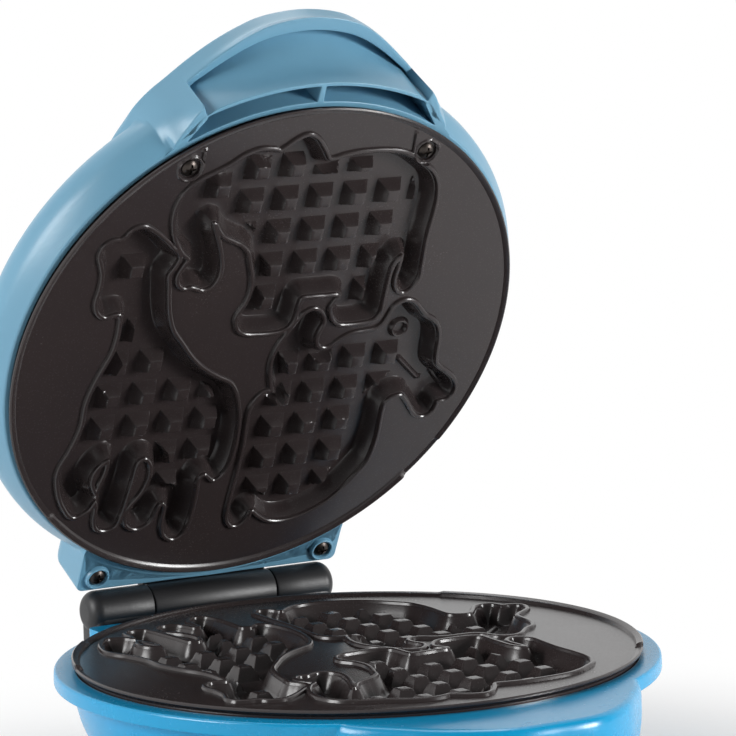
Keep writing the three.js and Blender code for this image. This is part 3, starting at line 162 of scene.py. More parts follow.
ELEPHANT_SHARES = (
    (-0.383, -0.403), (-0.415, -0.435), (-0.455, -0.5), (-0.473, -0.57), (-0.472, -0.61), (-0.46, -0.65),
    (-0.435, -0.685), (-0.4, -0.71), (-0.36, -0.73), (-0.31, -0.755), (-0.26, -0.79), (-0.21, -0.807),
    (-0.16, -0.805), (-0.135, -0.798), (-0.11, -0.81), (-0.07, -0.84), (-0.035, -0.852), (-0.005, -0.838),
    (0.02, -0.81), (0.045, -0.775), (0.06, -0.753), (0.08, -0.75), (0.12, -0.76), (0.17, -0.768),
    (0.22, -0.77), (0.28, -0.768), (0.34, -0.76), (0.39, -0.74), (0.435, -0.71), (0.48, -0.675),
    (0.51, -0.63), (0.525, -0.57), (0.528, -0.5), (0.526, -0.405), (0.535, -0.29), (0.538, -0.24),
    (0.52, -0.205), (0.495, -0.19), (0.47, -0.205), (0.458, -0.24), (0.46, -0.29), (0.459, -0.34),
    (0.45, -0.348), (0.43, -0.33), (0.415, -0.29), (0.413, -0.22), (0.415, -0.15), (0.415, -0.11),
    (0.4, -0.087), (0.36, -0.078), (0.3, -0.076), (0.265, -0.082), (0.24, -0.105), (0.225, -0.135),
    (0.223, -0.15), (0.235, -0.175), (0.245, -0.195), (0.23, -0.208), (0.18, -0.209), (0.12, -0.21),
    (0.085, -0.205), (0.077, -0.18), (0.075, -0.14), (0.068, -0.1), (0.048, -0.08), (0.01, -0.072),
    (-0.05, -0.072), (-0.1, -0.078), (-0.128, -0.095), (-0.142, -0.125), (-0.145, -0.145), (-0.135, -0.17),
    (-0.12, -0.2), (-0.112, -0.25), (-0.12, -0.31), (-0.14, -0.365), (-0.16, -0.415), (-0.195, -0.448),
    (-0.23, -0.466), (-0.27, -0.488), (-0.293, -0.515), (-0.31, -0.54), (-0.33, -0.543), (-0.32, -0.505),
    (-0.3, -0.46), (-0.28, -0.41), (-0.265, -0.35), (-0.268, -0.31), (-0.285, -0.283), (-0.31, -0.277),
    (-0.33, -0.285), (-0.355, -0.293), (-0.38, -0.29), (-0.4, -0.305), (-0.408, -0.335), (-0.395, -0.37),
)
HIPPO_SHARES = (
    (0.002, 0.68), (0.008, 0.725), (0.03, 0.753), (0.055, 0.753), (0.075, 0.73), (0.088, 0.698),
    (0.1, 0.695), (0.13, 0.72), (0.17, 0.745), (0.22, 0.755), (0.28, 0.748), (0.34, 0.725),
    (0.4, 0.69), (0.45, 0.64), (0.49, 0.585), (0.52, 0.535), (0.53, 0.48), (0.533, 0.42),
    (0.527, 0.32), (0.53, 0.29), (0.55, 0.265), (0.58, 0.253), (0.605, 0.255), (0.63, 0.28),
    (0.66, 0.32), (0.685, 0.348), (0.715, 0.36), (0.74, 0.35), (0.75, 0.325), (0.755, 0.303),
    (0.77, 0.298), (0.795, 0.295), (0.81, 0.28), (0.813, 0.25), (0.795, 0.215), (0.76, 0.185),
    (0.725, 0.16), (0.703, 0.135), (0.693, 0.09), (0.688, 0.04), (0.675, -0.01), (0.65, -0.045),
    (0.61, -0.07), (0.58, -0.1), (0.55, -0.13), (0.515, -0.14), (0.485, -0.125), (0.47, -0.09),
    (0.455, -0.055), (0.425, -0.032), (0.38, -0.025), (0.33, -0.02), (0.29, 0.0), (0.26, 0.025),
    (0.23, 0.032), (0.198, 0.02), (0.18, -0.015), (0.182, -0.05), (0.193, -0.09), (0.18, -0.12),
    (0.15, -0.14), (0.12, -0.128), (0.095, -0.095), (0.07, -0.05), (0.05, -0.01), (0.038, 0.04),
    (0.04, 0.09), (0.053, 0.14), (0.065, 0.175), (0.076, 0.197), (0.055, 0.19), (0.03, 0.195),
    (0.01, 0.215), (-0.003, 0.25), (-0.003, 0.3), (0.005, 0.4), (0.006, 0.5), (0.003, 0.6),
)


@dataclass(frozen=True)
class Animal:
    """One sunk animal: its outline and its grid of studs, all as shares of the drawing's half-width."""

    outline: Sequence[Pair]
    start: Pair
    cells: Sequence[tuple[int, int]]
    loose: Sequence[Pair] = ()
    gap: Sequence[Pair] = ()
    marked: bool = False

    def stud_centres(self, size: PlateSizes = PLATE) -> Points:
        """Rows of x and y of the studs' middles.

        Args:
            size: The plate's sizes, in mm.

        Returns:
            Rows of x and y, one per stud.
        """
        start = np.array(self.start) * size.drawing
        centres = [start + np.array(cell) * size.stud_pitch for cell in self.cells]
        return np.array(centres + [np.array(place) * size.drawing for place in self.loose])

    def loops(self, size: PlateSizes = PLATE) -> list[Points]:
        """The outline and, where a gap is left standing in the animal, the gap's outline."""
        return [smooth_loop(shares, 9) * size.drawing + size.shift for shares in (self.outline, self.gap) if shares]

    def distance(self, xy: Points) -> Points:
        """Signed distance of places to the animal's outline, negative inside it.

        Args:
            xy: Rows of x and y.

        Returns:
            One distance per row, in mm.
        """
        outline, *gaps = self.loops()
        away = signed_distance(xy, outline)
        for gap in gaps:
            away = np.maximum(away, -signed_distance(xy, gap))
        return away


def cell_rows(rows: dict[int, Sequence[int]]) -> list[tuple[int, int]]:
    """Spells out the cells of a stud grid.

    Args:
        rows: Columns that hold a stud, by row.

    Returns:
        Pairs of column and row.
    """
    return [(column, row) for row, columns in rows.items() for column in columns]


ANIMALS = (
    Animal(GIRAFFE_SHARES, (-0.545, -0.089),
           cell_rows({0: (0,), 1: (0, 1), 2: (0, 1, 2, 3), 3: (0, 1, 2, 3), 4: (2, 3)}),
           ((-0.561, -0.35), (-0.24, 0.576)), LEG_GAP_SHARES),
    Animal(ELEPHANT_SHARES, (-0.296, -0.707),
           cell_rows({0: (1, 2, 3, 4), 1: (1, 2, 3, 4, 5, 6), 2: (1, 2, 3, 4, 5), 3: (2, 3, 4, 5), 4: (2, 5)}),
           ((-0.3, -0.645),)),
    Animal(HIPPO_SHARES, (0.13, 0.112),
           cell_rows({0: (0, 1, 2, 3), 1: (0, 1, 2, 3), 2: (0, 1, 2), 3: (0, 1, 2), 4: (0, 1, 2)}), marked=True),
)


def smooth_loop(corners: Sequence[Pair], per_span: int = 5) -> Points:
    """Runs a closed centripetal Catmull-Rom curve through corners.

    Args:
        corners: The points that the curve goes through.
        per_span: Samples from one corner to the next.

    Returns:
        Rows of x and y round the loop.
    """
    pts = np.asarray(corners, float)
    p0, p1, p2, p3 = np.roll(pts, 1, 0), pts, np.roll(pts, -1, 0), np.roll(pts, -2, 0)

    def gap(a: Points, b: Points) -> Points:
        """The step of the curve's parameter between two rows of points."""
        return np.sqrt(np.linalg.norm(b - a, axis=1))[:, None]

    t1 = gap(p0, p1)
    t2 = t1 + gap(p1, p2)
    t3 = t2 + gap(p2, p3)
    samples = []
    for share in np.linspace(0, 1, per_span, endpoint=False):
        t = t1 + (t2 - t1) * share
        a1 = (t1 - t) / t1 * p0 + t / t1 * p1
        a2 = (t2 - t) / (t2 - t1) * p1 + (t - t1) / (t2 - t1) * p2
        a3 = (t3 - t) / (t3 - t2) * p2 + (t - t2) / (t3 - t2) * p3
        b1 = (t2 - t) / t2 * a1 + t / t2 * a2
        b2 = (t3 - t) / (t3 - t1) * a2 + (t - t1) / (t3 - t1) * a3
        samples.append((t2 - t) / (t2 - t1) * b1 + (t - t1) / (t2 - t1) * b2)
    return np.stack(samples, 1).reshape(-1, 2)


def signed_distance(xy: Points, loop: Points, reach: float = 12.0) -> Points:
    """Distance to a closed loop, negative inside it.

    Args:
        xy: Rows of x and y.
        loop: Rows of x and y round the loop.
        reach: How far beyond the loop's box distances still matter.

    Returns:
        One distance per row of xy; beyond reach it is only known to be large.
    """
    out = np.full(len(xy), reach)
    near = np.all((xy > loop.min(0) - reach) & (xy < loop.max(0) + reach), axis=1)
    index = np.flatnonzero(near)
    a, b = loop, np.roll(loop, -1, 0)
    edge = b - a
    square = np.maximum((edge**2).sum(1), 1e-12)
    for chunk in np.array_split(index, max(1, len(index) // 4000)):
        p = xy[chunk][:, None, :]
        t = np.clip(((p - a) * edge).sum(2) / square, 0, 1)
        away = np.linalg.norm(p - (a + t[..., None] * edge), axis=2).min(1)
        py, px = p[..., 1], p[..., 0]
        crosses = (a[:, 1] > py) != (b[:, 1] > py)
        rise = np.where(edge[:, 1] == 0, 1e-12, edge[:, 1])
        hits = crosses & (px < a[:, 0] + (py - a[:, 1]) / rise * edge[:, 0])
        inside = hits.sum(1) % 2 == 1
        out[chunk] = np.where(inside, -away, away)
    return out


def segment_distance(xy: Points, start: Points, end: Points) -> Points:
    """Distance of places to a straight piece between two points.

    Args:
        xy: Rows of x and y.
        start: One end.
        end: The other end.

    Returns:
        One distance per row, in mm.
    """
    run = end - start
    share = np.clip(((xy - start) @ run) / (run @ run), 0, 1)
    return np.linalg.norm(xy - (start + share[:, None] * run), axis=1)


def soft_min(a: Points, b: Points, width: float) -> Points:
    """The smaller of two values, blended over a width where they are close."""
    h = np.clip(0.5 + 0.5 * (b - a) / width, 0, 1)
    return b + (a - b) * h - width * h * (1 - h)


def soft_max(a: Points, b: Points, width: float) -> Points:
    """The larger of two values, blended over a width where they are close."""
    return -soft_min(-a, -b, width)


def cavity_depth(distance: Points, size: PlateSizes = PLATE) -> Points:
    """Depth of face, bead, drafted wall and floor across an outline.

    Args:
        distance: Signed distance to the outline, negative inside.
        size: The plate's sizes.

    Returns:
        The depth at each place, without studs.
    """
    half = size.bead_width / 2
    u = np.clip(np.abs(distance - half) / half, 0, 1)
    bead = size.face - size.bead_height * (1 - u**3.5) ** 0.7
    slope = (size.floor - size.face + size.bead_height) / size.draft
    wall = size.face - size.bead_height + 0.35 - distance * slope
    wall = soft_min(wall, np.full_like(wall, size.floor), 1.0)
    return np.where(distance < half, soft_max(bead, wall, 0.3), bead)


def stud_depth(xy: Points, distance: Points, animal: Animal, size: PlateSizes = PLATE) -> Points:
    """Depth of an animal's studs, cut off parallel to its outline.

    Args:
        xy: Rows of x and y.
        distance: Signed distance to the outline.
        animal: The animal that the studs belong to.
        size: The plate's sizes.

    Returns:
        The depth of the stud at each place, deeper than the floor where there is none.
    """
    top = size.face + size.stud_drop
    steep = (size.floor - top) / ((size.stud_base - size.stud_top) / 2)
    depth = np.full(len(xy), size.floor + 2.0)
    clip = size.floor - (-distance - size.stud_margin) * (size.floor - top) / (size.draft / 2)
    for centre in animal.stud_centres(size):
        away = np.abs(xy - centre)
        near = away.max(1) < size.stud_base
        if not near.any():
            continue
        side = soft_max(away[near, 0], away[near, 1], 0.2)
        one = top + (side - size.stud_top / 2) * steep
        one = soft_max(one, clip[near], 0.4)
        one = soft_max(one, np.full_like(one, top), 0.4)
        depth[near] = np.minimum(depth[near], one)
    return depth


@dataclass(frozen=True)
class RaisedLine:
    """A straight raised line, in millimetres: where it runs, how wide it is to each side, and how high."""

    start: Pair
    end: Pair
    width: float
    height: float

    def away(self, xy: Points) -> Points:
        """Distance of places to the line's middle."""
        return segment_distance(xy, np.array(self.start), np.array(self.end))


@dataclass(frozen=True)
class EyeRing:
    """The hippo's eye: a ring on the cavity's floor, in millimetres."""

    centre: Pair = (56.0, 1.0)
    radius: float = 3.0
    width: float = 1.1
    height: float = 1.6


@dataclass(frozen=True)
class SeatSizes:
    """How each screw of the upper plate sits in its face, in millimetres."""

    places: tuple[Pair, ...] = ((-45.2, -75.2), (45.2, -75.2))
    well_radius: float = 3.55
    well_depth: float = 2.3
    well_steepness: float = 6.0
    ring_radius: float = 4.5
    ring_width: float = 0.6
    ring_height: float = 0.55


HIPPO_MOUTH = (RaisedLine((59.0, 14.0), (68.5, 23.0), 1.3, 1.5), RaisedLine((74.5, 21.5), (79.0, 26.5), 1.2, 1.2))
HIPPO_EYE = EyeRing()
SEATS = SeatSizes()
SEAT_RIDGES = (RaisedLine((-41.3, -83.5), (-41.0, -73.4), 0.75, 0.9),
               RaisedLine((38.9, -86.0), (39.9, -75.4), 0.75, 0.9))


def mark_depth(xy: Points, size: PlateSizes = PLATE) -> Points:
    """Depth of the hippo's eye ring and mouth lines, deeper than the floor elsewhere.

    Args:
        xy: Rows of x and y.
        size: The plate's sizes, in mm.

    Returns:
        One depth per row, in mm.
    """
    depth = np.full(len(xy), size.floor + 2.0)
    for line in HIPPO_MOUTH:
        depth = np.minimum(depth, size.floor - line.height * (1 - (line.away(xy) / line.width) ** 2))
    ring = np.abs(np.linalg.norm(xy - np.array(HIPPO_EYE.centre), axis=1) - HIPPO_EYE.radius)
    return np.minimum(depth, size.floor - HIPPO_EYE.height * (1 - (ring / HIPPO_EYE.width) ** 2))


def seat_depth(xy: Points, depth: Points) -> Points:
    """Adds the upper plate's screw seats, their raised rings and the ridges beside them.

    Args:
        xy: Rows of x and y on the face.
        depth: The face's depth without them.

    Returns:
        The depth with them.
    """
    for line in SEAT_RIDGES:
        away = line.away(xy)
        ridge = PLATE.face - line.height * np.clip(1 - (away / line.width) ** 3, 0, 1)
        depth = np.where(away < line.width, np.minimum(depth, ridge), depth)
    for centre in SEATS.places:
        away = np.linalg.norm(xy - np.array(centre), axis=1)
        across = np.abs(away - SEATS.ring_radius) / SEATS.ring_width
        ring = PLATE.face - SEATS.ring_height * np.clip(1 - across**2, 0, 1)
        well = np.clip(SEATS.well_depth - (away - SEATS.well_radius) * SEATS.well_steepness, 0, SEATS.well_depth)
        depth = np.where(away < SEATS.ring_radius + SEATS.ring_width, np.maximum(ring, well), depth)
    return depth


def plate_face(xy: Points, half: Half) -> Points:
    """Depth of a plate's whole working face.

    Args:
        xy: Rows of x and y on the face.
        half: The half that the plate belongs to.

    Returns:
        The depth at each place.
    """
    depth = np.full(len(xy), PLATE.face)
    for animal in ANIMALS:
        distance = animal.distance(xy)
        own = cavity_depth(distance)
        own = soft_min(own, np.maximum(stud_depth(xy, distance, animal), own - 9), 0.3)
        if animal.marked:
            own = np.where(distance < -1.5, soft_min(own, mark_depth(xy), 0.3), own)
        depth = np.where(distance < 0, own, np.where(distance < PLATE.bead_width, np.minimum(depth, own), depth))
    return seat_depth(xy, depth) if half is Half.LID else depth


def enclosed_volume(points: Points, faces: Sequence[tuple[int, ...]]) -> float:
    """The volume inside a closed mesh, negative where its faces point inwards.

    Args:
        points: Rows of x, y and z.
        faces: Each face's corners, as indices of rows.

    Returns:
        The volume, in cubed units of the points.
    """
    total = 0.0
    for corners in {len(face) for face in faces}:
        same = points[np.array([face for face in faces if len(face) == corners])]
        for i in range(1, corners - 1):
            total += (np.cross(same[:, i], same[:, i + 1]) * same[:, 0]).sum() / 6
    return total


@dataclass
class MeshDraft:
    """Vertices and faces of a piece before it becomes a Blender object."""

    points: list[Points] = field(default_factory=list)
    faces: list[tuple[int, ...]] = field(default_factory=list)
    count: int = 0

    def add(self, points: Points) -> int:
        """Adds vertices and returns the index of the first.

        Args:
            points: Rows of x, y and depth.

        Returns:
            The first row's index in the draft.
        """
        first = self.count
        self.points.append(np.asarray(points, float))
        self.count += len(points)
        return first

    def add_closed(self, other: "MeshDraft") -> None:
        """Adds a closed mesh, with its faces outwards.

        Args:
            other: The mesh, with its faces all outwards or all inwards.
        """
        points = np.vstack(other.points)
        inside_out = enclosed_volume(points, other.faces) < 0
        first = self.add(points)
        self.faces.extend(tuple(first + i for i in (face[::-1] if inside_out else face)) for face in other.faces)


def circle(count: int) -> Points:
    """Rows of x and y on a circle of radius 1, counter-clockwise from +X."""
    turns = np.linspace(0, 2 * math.pi, count, endpoint=False)
    return np.column_stack([np.cos(turns), np.sin(turns)])


def even_steps(loop: Points, step: float) -> Points:
    """Points at even steps round a closed loop.

    Args:
        loop: Rows of x and y.
        step: About the distance between two points, in mm.

    Returns:
        Rows of x and y.
    """
    closed = np.vstack([loop, loop[:1]])
    run = np.concatenate([[0], np.cumsum(np.linalg.norm(np.diff(closed, axis=0), axis=1))])
    at = np.arange(0, run[-1], step)
    return np.column_stack([np.interp(at, run, closed[:, 0]), np.interp(at, run, closed[:, 1])])


def offset_loop(loop: Points, distance: float) -> Points:
    """Moves a counter-clockwise loop outwards by a distance.

    Args:
        loop: Rows of x and y.
        distance: How far outwards, in mm.

    Returns:
        Rows of x and y.
    """
    run = np.roll(loop, -1, 0) - np.roll(loop, 1, 0)
    run /= np.linalg.norm(run, axis=1)[:, None]
    return loop + np.column_stack([run[:, 1], -run[:, 0]]) * distance


def counter_clockwise(loop: Points) -> Points:
    """The loop, turned round where it runs clockwise.

    Args:
        loop: Rows of x and y.

    Returns:
        Rows of x and y, counter-clockwise.
    """
    ahead = np.roll(loop, -1, 0)
    area = (loop[:, 0] * ahead[:, 1] - loop[:, 1] * ahead[:, 0]).sum()
    return loop if area > 0 else loop[::-1]


@dataclass(frozen=True)
class FaceLines:
    """Lines on a plate's face that its mesh follows, so that beads, walls and studs keep crisp edges."""

    step: float = 0.55
    bead: tuple[float, ...] = (1.04, 0.97, 0.88, 0.7, 0.5, 0.3, 0.12, 0.0)
    wall: tuple[float, ...] = (-0.3, -0.9, -1.6, -2.3, -2.9, -3.3, -3.7)
    stud: tuple[float, ...] = (1.95, 2.25, 2.6, 3.5, 4.4, 4.75)
    stud_cut: tuple[float, ...] = (-4.9, -5.2, -6.4, -6.75)
    beside: tuple[float, ...] = (-1.2, -0.75, -0.5, -0.2, 0.2, 0.5, 0.75, 1.2)
    eye: tuple[float, ...] = (1.8, 2.1, 2.4, 2.7, 3.0, 3.3, 3.6, 3.9, 4.2)
    seat: tuple[float, ...] = (3.5, 3.72, 3.9, 4.1, 4.4, 4.7, 5.0, 5.2)
    fill: float = 2.2
    rim_count: int = 720

    def round_animal(self, animal: Animal) -> Points:
        """Points along the bead and down the wall of one animal.

        Args:
            animal: The animal.

        Returns:
            Rows of x and y.
        """
        found = []
        for loop, side in zip(animal.loops(), (1, -1)):
            even = even_steps(counter_clockwise(loop), self.step)
            for line in [share * PLATE.bead_width for share in self.bead] + list(self.wall):
                moved = offset_loop(even, line * side)
                found.append(moved[np.abs(animal.distance(moved) - line) < 0.07])
        return np.vstack(found)

    def round_studs(self, animal: Animal) -> Points:
        """Points along the edges of one animal's studs and where the outline cuts them off.

        Args:
            animal: The animal.

        Returns:
            Rows of x and y.
        """
        found = []
        centres = animal.stud_centres()
        for reach in self.stud:
            along = np.unique(np.concatenate([np.arange(-reach, reach, 0.9), [-reach + 0.3, reach - 0.3, reach]]))
            square = np.vstack([np.column_stack([side, other]) for side, other in (
                (along, np.full_like(along, reach)), (along, np.full_like(along, -reach)),
                (np.full_like(along, reach), along), (np.full_like(along, -reach), along))])
            found.append((centres[:, None] + square[None]).reshape(-1, 2))
        squares = np.vstack(found)
        squares = squares[animal.distance(squares) < -4.2]
        even = even_steps(counter_clockwise(animal.loops()[0]), self.step)
        for line in self.stud_cut:
            moved = offset_loop(even, line)
            moved = moved[np.abs(animal.distance(moved) - line) < 0.07]
            near = np.abs(moved[:, None] - centres[None]).max(2).min(1) < 4.9
            squares = np.vstack([squares, moved[near]])
        return squares

    def round_marks(self) -> Points:
        """Points along the hippo's marks, the screw seats and the ridges beside them.

        Returns:
            Rows of x and y.
        """
        found = []
        for line in HIPPO_MOUTH + SEAT_RIDGES:
            start, end = np.array(line.start), np.array(line.end)
            length = np.linalg.norm(end - start)
            along = np.linspace(0, 1, int(length / 0.6) + 2)[:, None]
            run = (end - start) / length
            for out in self.beside:
                found.append(start + along * (end - start) + np.array([run[1], -run[0]]) * out)
        for centre, radii in ((HIPPO_EYE.centre, self.eye), *((centre, self.seat) for centre in SEATS.places)):
            for radius in radii:
                found.append(np.array(centre) + circle(44) * radius)
        return np.vstack(found)

    def fill_between(self) -> Points:
        """A coarse grid for the level parts.

        Returns:
            Rows of x and y.
        """
        axis = np.arange(-PLATE.face_radius, PLATE.face_radius, self.fill)
        a, b = np.meshgrid(axis, axis)
        grid = np.column_stack([a.ravel(), b.ravel()])
        for animal in ANIMALS:
            away = animal.distance(grid)
            grid = grid[(away > PLATE.bead_width + 0.6) | (away < -4.2)]
        return grid

    def triangles(self) -> tuple[Points, list[tuple[int, ...]], Points]:
        """Joins all points of the face into triangles.

        Returns:
            The points, the triangles, and the indices of the round edge in order.
        """
        edge = circle(self.rim_count) * PLATE.face_radius
        inner = [self.round_marks(), self.fill_between()]
        for animal in ANIMALS:
            inner += [self.round_animal(animal), self.round_studs(animal)]
        inner = np.vstack(inner)
        inner = inner[np.linalg.norm(inner, axis=1) < PLATE.face_radius - 0.5]
        _, kept = np.unique(np.round(inner / 0.14), axis=0, return_index=True)
        every = np.vstack([edge, inner[np.sort(kept)]])
        corners, _, faces, *_ = delaunay_2d_cdt([Vector(p) for p in every.tolist()], [], [], 0, 1e-5)
        xy = np.array([tuple(corner) for corner in corners])
        rim = np.flatnonzero(np.linalg.norm(xy, axis=1) > PLATE.face_radius - 0.05)
        return xy, [tuple(face) for face in faces], rim[np.argsort(np.arctan2(xy[rim, 1], xy[rim, 0]))]


def crest_at(angles: Points, stretches: Sequence[Pair]) -> Points:
    """Depth of a lip's crest round the plate.

    Args:
        angles: Angles from +X in degrees, from -180 to 180.
        stretches: The angle at which each stretch starts and its depth.

    Returns:
        The crest's depth at each angle, with short ramps between stretches.
    """
    ramp = 0.5
    xs, ys = [-180.0], [stretches[0][1]]
    for (start, depth), (_, before) in zip(stretches[1:], stretches[:-1]):
        xs += [start - ramp, start + ramp]
        ys += [before, depth]
    return np.interp(angles, xs + [180.0], ys + [ys[-1]])


UPPER_LIP = ((-180, PLATE.low_crest), (31, PLATE.face), (41.6, PLATE.tall_crest), (138.4, PLATE.low_crest))
# Where the upper lip is low, the lower one stands above the parting plane.
LOWER_LIP = ((-180, PLATE.low_crest), (-35, -0.4), (41.6, 0.05), (138.4, -0.4), (163, PLATE.low_crest))


def plate_mesh(half: Half, lip: Sequence[Pair], face: tuple[Points, list[tuple[int, ...]], Points]) -> MeshDraft:
    """A cast plate: the sunk face, the lip in steps, the skirt and a flat back.

    Args:
        half: The half that the plate belongs to.
        lip: The lip's stretches.
        face: The face's points, triangles and edge.

    Returns:
        The plate's mesh in the shared frame.
    """
    draft = MeshDraft()
    xy, triangles, edge = face
    draft.add(np.column_stack([xy, plate_face(xy, half)]))
    draft.faces.extend(triangles)
    rim = xy[edge]
    crest = crest_at(np.degrees(np.arctan2(rim[:, 1], rim[:, 0])), lip)
    unit = rim / np.linalg.norm(rim, axis=1)[:, None]
    inner = PLATE.lip_radius - PLATE.lip_width
    rows = [
        (inner - 0.7, PLATE.face), (inner - 0.2, np.minimum(crest + PLATE.lip_slope + 0.4, PLATE.face)),
        (inner + 0.4, crest + PLATE.lip_slope), (PLATE.lip_radius - 0.5, crest), (PLATE.lip_radius, crest + 0.4),
        (PLATE.lip_radius, PLATE.lip_flare), (PLATE.skirt_radius, PLATE.lip_under),
        (PLATE.skirt_radius, PLATE.skirt_depth), (PLATE.back_radius, PLATE.skirt_depth),
        (PLATE.back_radius, PLATE.back),
    ]
    ring = edge.tolist()
    for radius, depth in rows:
        first = draft.add(np.column_stack([unit * radius, np.broadcast_to(depth, len(ring))]))
        row = list(range(first, first + len(ring)))
        draft.faces.extend(zip(ring[1:] + ring[:1], ring, row, row[1:] + row[:1]))
        ring = row
    centre = draft.add(np.array([[0.0, 0.0, PLATE.back]]))
    draft.faces.extend((ahead, here, centre) for ahead, here in zip(ring[1:] + ring[:1], ring))
    return draft


def link_object(name: str, content: bpy.types.ID) -> bpy.types.Object:
    """Puts a mesh, a lamp or a camera into the scene.

    Args:
        name: The object's name.
        content: Its mesh, lamp or camera.

    Returns:
        The object.
    """
    made = bpy.data.objects.new(name, content)
    bpy.context.scene.collection.objects.link(made)
    return made


def srgb(code: str) -> tuple[float, float, float, float]:
    """Turns an sRGB hex colour into Blender's linear one."""
    parts = [int(code[i:i + 2], 16) / 255 for i in (0, 2, 4)]
    return (*[c / 12.92 if c <= 0.04045 else ((c + 0.055) / 1.055) ** 2.4 for c in parts], 1.0)


def per_metre(millimetres: float) -> float:
    """The scale of a noise on Object coordinates whose grains are this wide."""
    return 1.0 / (millimetres * MM)


def add_node(tree: bpy.types.NodeTree, kind: str, inputs: dict | None = None, **settings: object) -> bpy.types.Node:
    """Adds a node with its settings, values and links.

    Args:
        tree: The tree that the node goes into.
        kind: The node's type name.
        inputs: Values or linked sockets, by input name or number.
        settings: Properties of the node itself.

    Returns:
        The new node.
    """
    made = tree.nodes.new(kind)
    for key, value in settings.items():
        setattr(made, key, value)
    for key, value in (inputs or {}).items():
        if isinstance(value, bpy.types.NodeSocket):
            tree.links.new(value, made.inputs[key])
        else:
            made.inputs[key].default_value = value
    return made


MIX_FACTOR, MIX_A, MIX_B, MIX_RESULT = 0, 6, 7, 2


@dataclass(frozen=True)
class Finish:
    """What every surface has: a colour that drifts a little over a hand's width, and a fine grain.

    The drift keeps a moulding or a coating from looking painted on a screen, and the grain breaks up its highlights.
    """

    name: str
    colour: str
    drift_colour: str
    roughness: float
    roughness_swing: float = 0.05
    drift_mm: float = 55.0
    grain_mm: float = 1.2
    grain_height_mm: float = 0.01
    metallic: float = 0.0
    ior: float = 1.5
    stretch: tuple[float, float, float] = (1.0, 1.0, 1.0)

    def material(self) -> bpy.types.Material:
        """Builds the material, or returns it where an earlier piece has built it.

        Returns:
            The material, the same one for every piece with this finish.
        """
        known = bpy.data.materials.get(self.name)
        if known:
            return known
        made = bpy.data.materials.new(self.name)
        made.use_nodes = True
        tree = made.node_tree
        tree.nodes.clear()
        place = add_node(tree, "ShaderNodeTexCoord").outputs["Object"]
        along = add_node(tree, "ShaderNodeMapping", {"Vector": place, "Scale": self.stretch}).outputs["Vector"]
        shader = add_node(tree, "ShaderNodeBsdfPrincipled", self.surface(tree, place, along))
        add_node(tree, "ShaderNodeOutputMaterial", {"Surface": shader.outputs["BSDF"]})
        made.diffuse_color = srgb(self.colour)
        return made

    def surface(self, tree: bpy.types.NodeTree, place: bpy.types.NodeSocket,
                along: bpy.types.NodeSocket) -> dict[str, object]:
        """Builds the patterns of the surface.

        Args:
            tree: The material's node tree.
            place: Object coordinates.
            along: Object coordinates stretched along the surface's grain.

        Returns:
            What goes into each input of the shader.
        """
        drift = add_node(tree, "ShaderNodeTexNoise",
                         {"Vector": place, "Scale": per_metre(self.drift_mm), "Detail": 3.0}).outputs["Fac"]
        colour = add_node(tree, "ShaderNodeMix",
                          {MIX_FACTOR: drift, MIX_A: srgb(self.colour), MIX_B: srgb(self.drift_colour)},
                          data_type="RGBA").outputs[MIX_RESULT]
        grain = add_node(tree, "ShaderNodeTexNoise",
                         {"Vector": along, "Scale": per_metre(self.grain_mm), "Detail": 4.0}).outputs["Fac"]
        handled = add_node(tree, "ShaderNodeMath", {0: drift, 1: grain}, operation="MULTIPLY").outputs[0]
        rough = add_node(tree, "ShaderNodeMapRange",
                         {"Value": handled, "From Min": 0.1, "From Max": 0.5,
                          "To Min": self.roughness - self.roughness_swing,
                          "To Max": self.roughness + self.roughness_swing}).outputs["Result"]
        bump = add_node(tree, "ShaderNodeBump",
                        {"Height": grain, "Distance": self.grain_height_mm * MM, "Strength": 1.0}).outputs["Normal"]
        return {"Base Color": colour, "Roughness": rough, "Normal": bump, "Metallic": self.metallic,
                "IOR": self.ior}


@dataclass(frozen=True)
class NonStickCoating(Finish):
    """PTFE sprayed on cast aluminium and baked: nearly black, with a soft grey sheen and pale mica flecks."""

    fleck_colour: str = "433F40"
    fleck_mm: float = 0.9

    def surface(self, tree: bpy.types.NodeTree, place: bpy.types.NodeSocket,
                along: bpy.types.NodeSocket) -> dict[str, object]:
        """Adds flecks to the plain surface, drawn 0.9 mm wide because real ones are too fine to show.

        Args:
            tree: The material's node tree.
            place: Object coordinates.
            along: Object coordinates stretched along the surface's grain.

        Returns:
            What goes into each input of the shader.
        """
        inputs = super().surface(tree, place, along)
        cells = add_node(tree, "ShaderNodeTexVoronoi", {"Vector": place, "Scale": per_metre(self.fleck_mm)})
        fleck = add_node(tree, "ShaderNodeMapRange",
                         {"Value": cells.outputs["Distance"], "From Min": 0.08, "From Max": 0.3, "To Min": 0.55,
                          "To Max": 0.0}).outputs["Result"]
        inputs["Base Color"] = add_node(
            tree, "ShaderNodeMix",
            {MIX_FACTOR: fleck, MIX_A: inputs["Base Color"], MIX_B: srgb(self.fleck_colour)},
            data_type="RGBA").outputs[MIX_RESULT]
        return inputs


@dataclass(frozen=True)
class ClearPlastic(Finish):
    """Tinted polycarbonate that light passes into, as on a lamp's lens."""

    transmission: float = 0.55

    def surface(self, tree: bpy.types.NodeTree, place: bpy.types.NodeSocket,
                along: bpy.types.NodeSocket) -> dict[str, object]:
        """Lets light into the plain surface.

        Args:
            tree: The material's node tree.
            place: Object coordinates.
            along: Object coordinates stretched along the surface's grain.

        Returns:
            What goes into each input of the shader.
        """
        inputs = super().surface(tree, place, along)
        inputs["Transmission Weight"] = self.transmission
        return inputs


